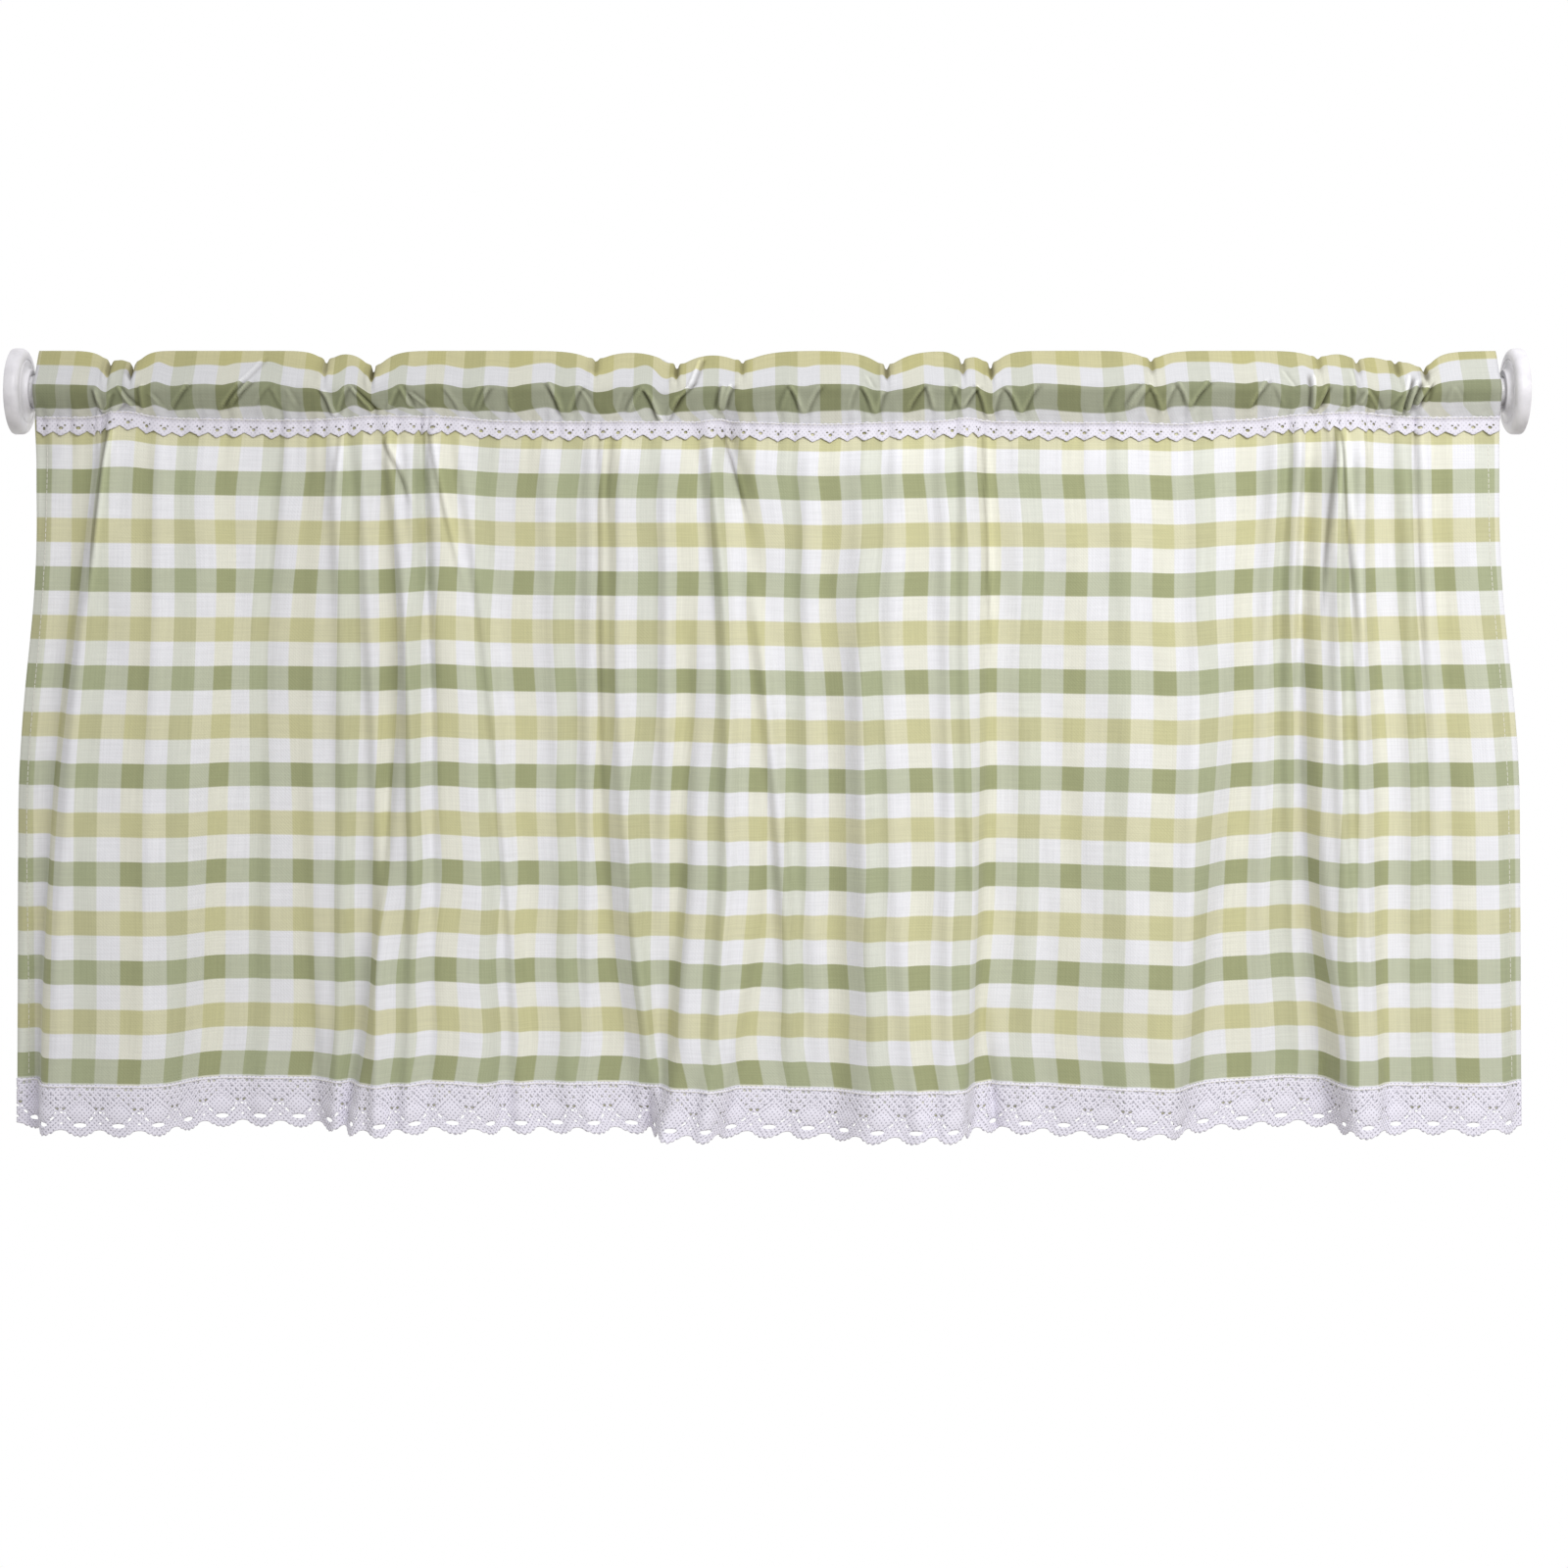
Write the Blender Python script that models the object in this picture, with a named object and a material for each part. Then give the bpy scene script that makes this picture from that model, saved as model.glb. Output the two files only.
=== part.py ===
"""Window valance gathered on a tension rod.

A checked cotton panel hangs from a tension rod. Its top is sewn over into a rod pocket, a
narrow lace runs along the pocket's seam and a wide lace edges the hem. The rod is two
telescoping tubes pressed between two round end pads.

Frame: X runs along the rod, Z is up, and -Y faces the room. The origin is the centre of the
left pad's outer face. All dimensions below are in millimetres; the meshes are in metres.
"""

import math

import bmesh
import bpy
import numpy as np

MM = 0.001

# ---- Rod and end pads -------------------------------------------------------------------
ROD_SPAN = 1173.0            # between the pads' outer faces
OUTER_TUBE_DIAMETER = 25.0
INNER_TUBE_DIAMETER = 22.0
TUBE_JOINT = 700.0           # where the wider tube ends
PAD_DIAMETER = 67.0
PAD_THICKNESS = 11.0
PAD_ROUND = 1.5              # rounding of the rim
PAD_BEVEL = 5.0              # slope from the rim to the pad's inner face
COLLAR_MOUTH = 15.0          # from the pad's outer face to the collar's open end
COLLAR_DIAMETER = 34.0
COLLAR_ROUND = 1.0           # rounding of the open end
COLLAR_FLARE = 2.0           # how much wider the collar is at its root
FLARE_RISE = 0.8             # thickness of that wider root
SOCKET_FLOOR = 4.0           # plastic between the socket and the pad's outer face
FIT_GAP = 0.3                # between pieces that touch
TUBE_CLEARANCE = 0.4         # round a tube in its socket
ROUND_SIDES = 32

# ---- Cloth ------------------------------------------------------------------------------
CLOTH_THICKNESS = 1.2
LACE_THICKNESS = 1.2
LACE_GAP = 0.5               # the narrow lace lies over tight gathers, so it is given more
SCALLOPS = 46                # across the hem lace
STATION_SHARES = (0.0, 1 / 3, 2 / 3)      # where each scallop's mesh stations stand in it
EYELET_SHARES = (0.0, 0.26, 0.74)         # the same along the eyelets, to leave them room
PER_SCALLOP = len(STATION_SHARES)
STATIONS = SCALLOPS * PER_SCALLOP
EDGE_INSET_TOP = 17.0        # cloth edge to the pad's outer face, at the pocket
EDGE_INSET_HEM = 3.0         # the same at the hem, where the cloth spreads
FLARE_TOP = -100.0           # heights between which the side edges spread
FLARE_END = -340.0

SEAM_DEPTH = -6.0            # Y of the pocket seam, and the plane that the panel hangs in
SEAM_HEIGHT = -17.0
NARROW_LACE_HEM = -38.5
WIDE_LACE_TOP = -536.0
CLOTH_HEM = -555.5
PANEL_ROWS = (SEAM_HEIGHT, NARROW_LACE_HEM, -75.0, -160.0, -265.0, -370.0, -465.0,
              WIDE_LACE_TOP, CLOTH_HEM)
MIDDLE_SAG = 4.5             # the seam hangs this much lower at mid span than at the pads

# ---- Folds ------------------------------------------------------------------------------
# Each fold is read at three heights: FOLD_TOP, midway, and FOLD_HEM. Between them its place
# and size run on a smooth curve.
FOLD_TOP = -61.0
FOLD_HEM = -519.0
SEAM_SHARE = 0.2             # share of each fold's depth that the seam still has
HANG = (-6.0, -10.0, -12.0)  # how far the left edge stands back, at the three heights

# A step is where the cloth comes forward (+) or falls back (-) and stays there.
#   name, x top, x middle, x hem, half width, rise top, rise middle, rise hem
STEPS = (
    ("left_edge", 69, 37, 24, 4.6, 12, 22, 30),
    ("left_fall", 169, 151, 134, 13.7, -6, -30, -44),
    ("pinch_step", 235, 226, 235, 5.3, 4, 4, 8),
    ("pinch_rise", 307, 297, 270, 4.6, 10, 14, 24),
    ("pinch_fall", 336, 368, 374, 6.9, -14, -20, -20),
    ("mid_step", 456, 459, 482, 5.3, 7, 12, 9),
    ("mid_rise", 526, 528, 511, 4.6, -8, 12, 24),
    ("mid_fall", 570, 587, 561, 5.3, 8, -6, -18),
    ("centre_rise", 637, 647, 651, 12.2, 5, 16, 24),
    ("right_fall", 750, 753, 744, 4.6, -12, -26, -36),
    ("slow_rise", 820, 831, 831, 33.5, 5, 22, 24),
    ("far_fall", 953, 941, 915, 12.2, -6, -28, -32),
    ("far_rise", 1010, 1008, 1025, 4.6, 12, 30, 40),
    ("end_fall", 1052, 1057, 1060, 5.3, -12, -14, -14),
    ("end_rise", 1110, 1118, 1115, 10.7, 6, 12, 10),
    ("edge_turn", 1142, 1154, 1159, 6.1, -5, -10, -14),
)

# A pleat is a narrow ridge (+) or trough (-).
#   x top, x middle, x hem, half width, height top, height middle, height hem
PLEATS = (
    (35, 15, 6, 6.9, 6, 8, 8),
    (75, 50, 38, 6.1, 17, 8, 2),
    (117, 111, 104, 7.6, 8, 4, 2),
    (203, 189, 180, 7.6, -7, -5, -3),
    (253, 256, 252, 6.1, 12, 7, 9),
    (273, 282, 285, 6.1, 10, 10, 9),
    (296, 311, 310, 5.3, 15, 12, 6),
    (319, 325, 325, 5.3, -14, -8, -3),
    (351, 377, 393, 6.9, 9, 15, 8),
    (416, 424, 432, 7.6, 6, 6, 4),
    (450, 447, 447, 6.1, 8, 9, 5),
    (474, 474, 496, 6.1, 12, 10, 12),
    (508, 508, 499, 6.1, 8, 9, -8),
    (544, 557, 544, 6.1, 13, 12, 7),
    (561, 592, 604, 6.1, -9, 14, 4),
    (618, 619, 627, 7.6, 8, 8, 2),
    (660, 660, 668, 7.6, 11, 11, 3),
    (687, 683, 698, 7.6, 8, 6, 5),
    (723, 727, 725, 6.1, 11, 8, 5),
    (740, 740, 758, 5.3, 11, 7, -6),
    (782, 786, 790, 9.1, 6, 5, 3),
    (862, 866, 866, 9.1, 5, 3, 2),
    (923, 916, 904, 7.6, 5, 6, 3),
    (981, 973, 973, 6.9, 11, 8, 2),
    (997, 994, 1003, 5.3, 14, 9, 3),
    (1026, 1028, 1039, 5.3, 14, 11, 4),
    (1045, 1045, 1051, 5.3, 12, 10, 3),
    (1080, 1087, 1087, 6.1, 12, 10, 3),
    (1096, 1104, 1106, 6.1, 9, 8, 3),
)

# The seam is pulled up where the pocket is bunched:  x, half width, lift
SEAM_LIFTS = (
    (88, 20, 5.0),
    (283, 30, 3.0),
    (550, 11, 2.5),
    (740, 14, 2.5),
    (1040, 34, 4.5),
)

# ---- Rod pocket -------------------------------------------------------------------------
# The pocket's top stands in arches and dips on to the rod where it is pinched:
#   x, half width, share of the arch that is lost (it rests on the rod at 1 and over)
DIPS = (
    (75, 7, 0.9),
    (93, 6, 1.2),
    (243, 7, 0.8),
    (280, 9, 1.4),
    (453, 9, 0.6),
    (516, 10, 1.3),
    (567, 11, 0.7),
    (679, 9, 1.3),
    (738, 5, 0.8),
    (760, 7, 1.2),
    (885, 9, 0.7),
    (1015, 9, 0.5),
    (1045, 5, 0.6),
    (1075, 20, 0.8),
    (1097, 7, 1.2),
)

# Section round the rod from the seam, up the front, over the top and down the back:
#   y and z where the pocket stands in an arch, y and z where it rests on the rod
POCKET_SECTION = (
    (-14.2, -7.0, -14.2, -7.0),
    (-15.6, 4.0, -15.2, 4.0),
    (-6.0, 16.5, -9.5, 11.7),
    (4.0, 31.0, 0.0, 13.9),
    (9.0, 29.5, 8.5, 12.9),
    (15.0, 5.0, 15.2, 4.0),
    (13.0, -8.5, 13.0, -8.5),
    (3.0, -16.0, 3.0, -16.0),
)

# ---- Hem lace ---------------------------------------------------------------------------
SCALLOP_NOTCH = -571.5       # lower edge between two scallops
SCALLOP_SHOULDER = -575.0
SCALLOP_TIP = -577.0
EYELET_TOP = -566.2
EYELET_FOOT = -570.6
EYELET_WIDTH = 0.40          # as a share of its scallop
EYELET_FLAT = 0.22           # width of its straight top and foot, as a share of its scallop
NET_FOOT = -564.0            # the net ends here and the eyelet's band begins
NARROW_SCALLOP_DEPTH = 3.0

# ---- Finishes ---------------------------------------------------------------------------
CHECKED_COTTON = ("checked_cotton", (0.62, 0.65, 0.48), 0.85, 0.0)
COTTON_LACE = ("cotton_lace", (0.80, 0.78, 0.86), 0.9, 0.0)
PAD_PLASTIC = ("pad_plastic", (0.78, 0.76, 0.82), 0.45, 0.0)
ROD_ENAMEL = ("rod_enamel", (0.85, 0.85, 0.86), 0.35, 0.0)


# =========================================================================================
# The surface of the cloth
# =========================================================================================
def level(z):
    """0 at the folds' upper reading height, 1 at the lower one."""
    return np.clip((FOLD_TOP - z) / (FOLD_TOP - FOLD_HEM), -0.1, 1.15)


def along(top, middle, hem, h):
    """Smooth curve through the values at h = 0, 0.5 and 1."""
    return top * (1 - h) * (1 - 2 * h) + middle * 4 * h * (1 - h) + hem * h * (2 * h - 1)


def fold_depth(x, z):
    """How far the cloth stands in front of its hanging plane."""
    h = level(z)
    depth = along(*HANG, h) * np.ones_like(x)
    for _, x_top, x_mid, x_hem, half, r_top, r_mid, r_hem in STEPS:
        centre = along(x_top, x_mid, x_hem, h)
        depth += along(r_top, r_mid, r_hem, h) * 0.5 * (1 + np.tanh((x - centre) / half))
    for x_top, x_mid, x_hem, half, p_top, p_mid, p_hem in PLEATS:
        centre = along(x_top, x_mid, x_hem, h)
        depth += along(p_top, p_mid, p_hem, h) * np.exp(-((x - centre) / half) ** 2)
    return depth


def smooth(t):
    t = min(max(t, 0.0), 1.0)
    return t * t * (3 - 2 * t)


def fold_share(z):
    """Folds are nipped by the seam and open out below it."""
    return SEAM_SHARE + (1 - SEAM_SHARE) * smooth((SEAM_HEIGHT - z) / (SEAM_HEIGHT - FOLD_TOP))


def edge_inset(z):
    spread = smooth((FLARE_TOP - z) / (FLARE_TOP - FLARE_END))
    return EDGE_INSET_TOP + (EDGE_INSET_HEM - EDGE_INSET_TOP) * spread


def station_x(z, shares):
    """X of each station. Stations are spaced along the cloth itself, so they crowd together
    where a fold turns away."""
    z = min(z, FOLD_TOP)
    inset = edge_inset(z)
    x = np.linspace(inset, ROD_SPAN - inset, 2400)
    slope = np.gradient(fold_depth(x, z), x)
    cloth = np.concatenate([[0.0], np.cumsum(np.sqrt(1 + slope[1:] ** 2) * np.diff(x))])
    places = np.append(np.add.outer(np.arange(SCALLOPS), shares).ravel(), SCALLOPS)
    return np.interp(places / SCALLOPS * cloth[-1], cloth, x)


def drop_shift(x, z):
    """Raises or lowers a point for the sag of the span and the lifts along the seam."""
    sag = -MIDDLE_SAG * (1 - ((x - ROD_SPAN / 2) / (ROD_SPAN / 2)) ** 2)
    lift = sum(up * np.exp(-((x - centre) / half) ** 2) for centre, half, up in SEAM_LIFTS)
    fade = 1 - smooth((SEAM_HEIGHT - z) / (2 * (SEAM_HEIGHT - FOLD_TOP)))
    return sag + lift * fade


def cloth_row(z, shares=STATION_SHARES):
    """One horizontal row of points on the hanging cloth, one for each station."""
    x = station_x(z, shares)
    y = SEAM_DEPTH - fold_depth(x, z) * fold_share(z)
    return np.stack([x, y, z + drop_shift(x, z)], axis=1)


def offset(rows, distance):
    """The rows moved level and square to the cloth, towards the room if positive."""
    across = np.gradient(rows, axis=-2)
    square = np.stack([across[..., 1], -across[..., 0], np.zeros_like(across[..., 0])], axis=-1)
    return rows + square * (distance / np.linalg.norm(square, axis=-1, keepdims=True))


# =========================================================================================
# Mesh helpers
# =========================================================================================
def material(name, colour, roughness, metallic):
    made = bpy.data.materials.new(name)
    made.use_nodes = True
    shader = made.node_tree.nodes["Principled BSDF"]
    shader.inputs["Base Color"].default_value = (*colour, 1.0)
    shader.inputs["Roughness"].default_value = roughness
    shader.inputs["Metallic"].default_value = metallic
    made.diffuse_color = (*colour, 1.0)
    return made


def add_object(name, bm, finish):
    """Closes off a bmesh that is in millimetres as a named object in metres."""
    bmesh.ops.recalc_face_normals(bm, faces=bm.faces)
    bmesh.ops.scale(bm, vec=(MM, MM, MM), verts=bm.verts)
    mesh = bpy.data.meshes.new(name)
    bm.to_mesh(mesh)
    bm.free()
    mesh.materials.append(material(*finish))
    mesh.shade_smooth()
    mesh.set_sharp_from_angle(angle=math.radians(40))
    made = bpy.data.objects.new(name, mesh)
    bpy.context.scene.collection.objects.link(made)
    return made


def add_verts(bm, points):
    return [bm.verts.new(tuple(float(c) for c in point)) for point in points]


def add_quad(bm, a, b, c, d):
    """Two triangles that meet along the line from a to c."""
    bm.faces.new((a, b, c))
    bm.faces.new((a, c, d))


def add_strip(bm, upper, lower, skip=None):
    """A strip between two rows. Every strip is split the same way, so that one layer lies
    flat on another. Spans whose place in the scallop is skip are left open."""
    for i in range(len(upper) - 1):
        if i % PER_SCALLOP != skip:
            add_quad(bm, lower[i], lower[i + 1], upper[i + 1], upper[i])


def turned(name, profile, finish):
    """A solid of revolution about X from (x, radius) points that start and end on the axis."""
    bm = bmesh.new()
    rings = []
    for x, radius in profile:
        if radius == 0:
            rings.append([bm.verts.new((x, 0, 0))])
            continue
        angles = [2 * math.pi * i / ROUND_SIDES for i in range(ROUND_SIDES)]
        rings.append([bm.verts.new((x, radius * math.cos(a), radius * math.sin(a)))
                      for a in angles])
    for one, two in zip(rings, rings[1:]):
        for i in range(ROUND_SIDES):
            j = (i + 1) % ROUND_SIDES
            if len(one) == 1:
                bm.faces.new((one[0], two[i], two[j]))
            elif len(two) == 1:
                bm.faces.new((one[i], one[j], two[0]))
            else:
                bm.faces.new((one[i], one[j], two[j], two[i]))
    return add_object(name, bm, finish)


# =========================================================================================
# Rod and pads
# =========================================================================================
def end_pad(name, outer_x, inward, tube_diameter):
    """A round pad with a flat outer face, a rolled rim and a collar for the tube.
    inward is +1 or -1: the way from the outer face to the tube."""
    rim = PAD_DIAMETER / 2
    socket = tube_diameter / 2 + TUBE_CLEARANCE
    collar = COLLAR_DIAMETER / 2
    profile = (
        (0.0, 0.0),
        (0.0, rim - PAD_ROUND),
        (PAD_ROUND, rim),
        (PAD_THICKNESS - PAD_BEVEL, rim),
        (PAD_THICKNESS - PAD_ROUND, rim - PAD_ROUND),
        (PAD_THICKNESS, rim - PAD_BEVEL),
        (PAD_THICKNESS + FLARE_RISE, collar + COLLAR_FLARE),
        (COLLAR_MOUTH - COLLAR_ROUND, collar),
        (COLLAR_MOUTH, collar - COLLAR_ROUND),
        (COLLAR_MOUTH, socket),
        (SOCKET_FLOOR, socket),
        (SOCKET_FLOOR, 0.0),
    )
    placed = [(outer_x + inward * x, radius) for x, radius in profile]
    return turned(name, placed, PAD_PLASTIC)


def tension_rod():
    """The wider tube and the narrower one that slides in it, as one plain body."""
    start = SOCKET_FLOOR + FIT_GAP
    end = ROD_SPAN - start
    wide = OUTER_TUBE_DIAMETER / 2
    narrow = INNER_TUBE_DIAMETER / 2
    turned("tension_rod", (
        (start, 0.0),
        (start, wide),
        (TUBE_JOINT, wide),
        (TUBE_JOINT, narrow),
        (end, narrow),
        (end, 0.0),
    ), ROD_ENAMEL)


# =========================================================================================
# Panel with its rod pocket
# =========================================================================================
def pocket_rows(seam):
    """Rows of points round the rod: the pocket's middle surface, from the seam's front,
    over the top, to the seam's back. It keeps each station's x."""
    x = seam[:, 0]
    lost = sum(share * np.exp(-((x - centre) / half) ** 2) for centre, half, share in DIPS)
    rest = np.clip(lost, 0, 1)
    rows = []
    for arch_y, arch_z, rest_y, rest_z in POCKET_SECTION:
        y = arch_y + (rest_y - arch_y) * rest
        z = arch_z + (rest_z - arch_z) * rest
        rows.append(np.stack([x, y, z], axis=1))
    return np.array(rows)


def pocket_outward(rows):
    """Unit normals in the section plane, away from the rod."""
    path = np.concatenate([rows[:1], rows, rows[-1:]])
    step = path[2:] - path[:-2]
    out = np.stack([np.zeros_like(step[..., 0]), -step[..., 2], step[..., 1]], axis=2)
    out *= np.sign(np.sum(out * rows * (0, 1, 1), axis=2, keepdims=True))
    return out / np.linalg.norm(out, axis=2, keepdims=True)


def valance_panel():
    half = CLOTH_THICKNESS / 2
    hanging = np.array([cloth_row(z) for z in PANEL_ROWS])
    front, back = offset(hanging, half), offset(hanging, -half)
    seam = hanging[0]
    back[0] -= (0, 0, half)
    join = seam + (0, half, CLOTH_THICKNESS)     # the fork between pocket and panel

    pocket = pocket_rows(seam)
    outward = pocket_outward(pocket)
    bm = bmesh.new()
    front = [add_verts(bm, row) for row in front]
    back = [add_verts(bm, row) for row in back]
    outside = [add_verts(bm, row) for row in pocket + outward * half]
    inside = [add_verts(bm, row) for row in pocket - outward * half]
    join = add_verts(bm, join)

    for sheet in (front, back, outside, inside):
        for upper, lower in zip(sheet, sheet[1:]):
            add_strip(bm, upper, lower)
    for upper, lower in ((front[-1], back[-1]), (outside[0], front[0]), (outside[-1], back[0]),
                         (inside[0], join), (inside[-1], join)):
        add_strip(bm, upper, lower)
    for end in (0, STATIONS):
        for r in range(len(front) - 1):
            add_quad(bm, front[r][end], front[r + 1][end], back[r + 1][end], back[r][end])
        for r in range(len(outside) - 1):
            add_quad(bm, outside[r][end], outside[r + 1][end], inside[r + 1][end],
                     inside[r][end])
        add_quad(bm, front[0][end], outside[0][end], inside[0][end], join[end])
        add_quad(bm, back[0][end], outside[-1][end], inside[-1][end], join[end])
        bm.faces.new((front[0][end], join[end], back[0][end]))
    return add_object("valance_panel", bm, CHECKED_COTTON)


# =========================================================================================
# Laces
# =========================================================================================
def lace_layers(rows, gap):
    """The back and the front of a lace that lies in front of the cloth."""
    back = CLOTH_THICKNESS / 2 + gap
    return offset(rows, back), offset(rows, back + LACE_THICKNESS)


def heading_lace():
    """A narrow strip over the pocket's seam with small scallops along its lower edge."""
    rows = np.array([cloth_row(SEAM_HEIGHT), cloth_row(NARROW_LACE_HEM)])
    bm = bmesh.new()
    tops, feet = [], []
    for top, foot in lace_layers(rows, LACE_GAP):
        rise = (top - foot) * (NARROW_SCALLOP_DEPTH / (SEAM_HEIGHT - NARROW_LACE_HEM))
        edge = []
        for k in range(2 * STATIONS + 1):      # each station and each midpoint
            left, right = k // 2, (k + 1) // 2
            point = (foot[left] + foot[right]) / 2
            edge.append(point + rise[right] if k % 3 == 0 else point)
        tops.append(add_verts(bm, top))
        feet.append(add_verts(bm, edge))
    for top, foot in zip(tops, feet):
        for i in range(STATIONS):
            bm.faces.new((top[i], foot[2 * i], top[i + 1]))
            bm.faces.new((foot[2 * i], foot[2 * i + 1], top[i + 1]))
            bm.faces.new((foot[2 * i + 1], foot[2 * i + 2], top[i + 1]))
    for rim in (tops, feet):
        for i in range(len(rim[0]) - 1):
            add_quad(bm, rim[0][i], rim[0][i + 1], rim[1][i + 1], rim[1][i])
    for end in (0, -1):
        add_quad(bm, tops[0][end], tops[1][end], feet[1][end], feet[0][end])
    return add_object("heading_lace", bm, COTTON_LACE)


def scallop_band(bm, net, notch):
    """One layer of the lace below its net: the scalloped edge's row of vertices, the
    scallops' tips and the rings of the eyelets."""
    slope = (notch - net) / (NET_FOOT - SCALLOP_NOTCH)       # along the lace for 1 mm down

    def on_band(i, t, z):
        """A point at height z, a share t of the way from station i to the next."""
        down = NET_FOOT - z
        return (net[i] + slope[i] * down) * (1 - t) + (net[i + 1] + slope[i + 1] * down) * t

    edge = [notch[i] if i % PER_SCALLOP == 0 else net[i] + slope[i] * (NET_FOOT - SCALLOP_SHOULDER)
            for i in range(STATIONS + 1)]
    room = EYELET_SHARES[2] - EYELET_SHARES[1]
    side, flat = EYELET_WIDTH / 2 / room, EYELET_FLAT / 2 / room
    middle = (EYELET_TOP + EYELET_FOOT) / 2
    ring = ((-side, middle), (-flat, EYELET_TOP), (flat, EYELET_TOP),
            (side, middle), (flat, EYELET_FOOT), (-flat, EYELET_FOOT))
    firsts = [s * PER_SCALLOP + 1 for s in range(SCALLOPS)]
    tips = add_verts(bm, [on_band(i, 0.5, SCALLOP_TIP) for i in firsts])
    eyelets = [add_verts(bm, [on_band(i, 0.5 + t, z) for t, z in ring]) for i in firsts]
    return add_verts(bm, edge), tips, eyelets


def hem_lace():
    """The wide lace: a strip sewn over the hem, with one eyelet cut in every scallop."""
    upper = np.array([cloth_row(z) for z in (WIDE_LACE_TOP, CLOTH_HEM)])
    band = np.array([cloth_row(z, EYELET_SHARES) for z in (NET_FOOT, SCALLOP_NOTCH)])
    bm = bmesh.new()
    layers = []
    for (top, hem), (net, notch) in zip(lace_layers(upper, FIT_GAP), lace_layers(band, FIT_GAP)):
        edge, tips, eyelets = scallop_band(bm, net, notch)
        rows = [add_verts(bm, row) for row in (top, hem, net)] + [edge]
        layers.append((rows, tips, eyelets))
        add_strip(bm, rows[0], rows[1])
        add_strip(bm, rows[1], rows[2])
        add_strip(bm, rows[2], rows[3], skip=1)
        for s, (tip, ring) in enumerate(zip(tips, eyelets)):
            i = s * PER_SCALLOP + 1
            (head_left, head_right), (foot_left, foot_right) = rows[2][i:i + 2], edge[i:i + 2]
            left, top_left, top_right, right, low_right, low_left = ring
            add_quad(bm, head_left, head_right, top_right, top_left)
            for corners in ((head_left, top_left, left), (head_left, left, foot_left),
                            (foot_left, left, low_left), (head_right, right, top_right),
                            (head_right, foot_right, right), (foot_right, low_right, right),
                            (foot_left, low_left, tip), (foot_right, tip, low_right),
                            (low_left, low_right, tip)):
                bm.faces.new(corners)

    (back, back_tips, back_rings), (front, front_tips, front_rings) = layers
    add_strip(bm, back[0], front[0])
    add_strip(bm, back[-1], front[-1], skip=1)
    for s in range(SCALLOPS):
        i = s * PER_SCALLOP + 1
        add_quad(bm, back[-1][i], back_tips[s], front_tips[s], front[-1][i])
        add_quad(bm, back_tips[s], back[-1][i + 1], front[-1][i + 1], front_tips[s])
        wall = list(zip(back_rings[s], front_rings[s]))
        for (a, b), (c, d) in zip(wall, wall[1:] + wall[:1]):
            add_quad(bm, a, c, d, b)
    for end in (0, STATIONS):
        for r in range(len(back) - 1):
            add_quad(bm, back[r][end], front[r][end], front[r + 1][end], back[r + 1][end])
    return add_object("hem_lace", bm, COTTON_LACE)


def main():
    for old in list(bpy.data.objects):
        bpy.data.objects.remove(old, do_unlink=True)
    end_pad("end_pad_left", 0.0, 1, OUTER_TUBE_DIAMETER)
    end_pad("end_pad_right", ROD_SPAN, -1, INNER_TUBE_DIAMETER)
    tension_rod()
    valance_panel()
    heading_lace()
    hem_lace()


main()
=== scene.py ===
# %% [markdown]
# # A gathered kitchen valance
# A valance is a short curtain that covers the top of a window. This one is a length of checked
# cotton, gathered on a tension rod. A narrow lace hides the seam of the rod pocket and a wide
# lace edges the hem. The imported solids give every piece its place, and this lesson dresses
# them: it works out the real drape of the cloth at a fine grain, weaves the check into it,
# crochets the laces with holes that go right through, and moulds the rod's end pads.

import math

import bmesh
import bpy
import numpy as np
from mathutils import Matrix, Vector


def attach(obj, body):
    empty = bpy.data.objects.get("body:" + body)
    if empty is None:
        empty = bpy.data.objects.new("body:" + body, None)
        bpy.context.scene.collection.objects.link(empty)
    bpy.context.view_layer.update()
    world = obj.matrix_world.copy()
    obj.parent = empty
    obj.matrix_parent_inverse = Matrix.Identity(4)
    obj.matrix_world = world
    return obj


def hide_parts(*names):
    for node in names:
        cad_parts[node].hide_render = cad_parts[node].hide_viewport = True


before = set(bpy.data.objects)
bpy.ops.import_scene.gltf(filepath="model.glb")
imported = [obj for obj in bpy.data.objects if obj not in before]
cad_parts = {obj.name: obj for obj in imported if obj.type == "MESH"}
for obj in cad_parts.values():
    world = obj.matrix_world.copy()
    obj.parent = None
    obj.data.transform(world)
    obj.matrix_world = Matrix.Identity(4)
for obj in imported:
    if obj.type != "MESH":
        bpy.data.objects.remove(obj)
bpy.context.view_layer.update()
MM = 0.001
print("solids:", ", ".join(sorted(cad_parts)))

# %% [markdown]
# ## Camera
# The valance is looked at straight on, from 2.3 metres, with the eye a hand's breadth below
# the rod. From there the lower rows of the check dip a little wherever a fold comes
# forward, and that is how the depth of the folds can be read at all. The eye is higher than the
# middle of the frame, so the lens is shifted down instead of tilting the camera, and upright
# lines stay upright.

# %% Place the camera
FRAME_WIDTH = 1.220          # how much of the rod's plane the picture takes in
FRAME_CENTRE = (0.5993, -0.3054)
EYE_DISTANCE = 2.3
EYE_HEIGHT = -0.103

lens = bpy.data.cameras.new("camera")
lens.sensor_width = 36.0
lens.lens = lens.sensor_width * EYE_DISTANCE / FRAME_WIDTH
lens.shift_y = (FRAME_CENTRE[1] - EYE_HEIGHT) / FRAME_WIDTH
lens.clip_end = 50.0
camera = bpy.data.objects.new("camera", lens)
camera.location = (FRAME_CENTRE[0], -EYE_DISTANCE, EYE_HEIGHT)
camera.rotation_euler = (math.pi / 2, 0, 0)
bpy.context.scene.collection.objects.link(camera)
bpy.context.scene.camera = camera
print(f"lens {lens.lens:.1f} mm, shift {lens.shift_y:.3f}")

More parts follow.
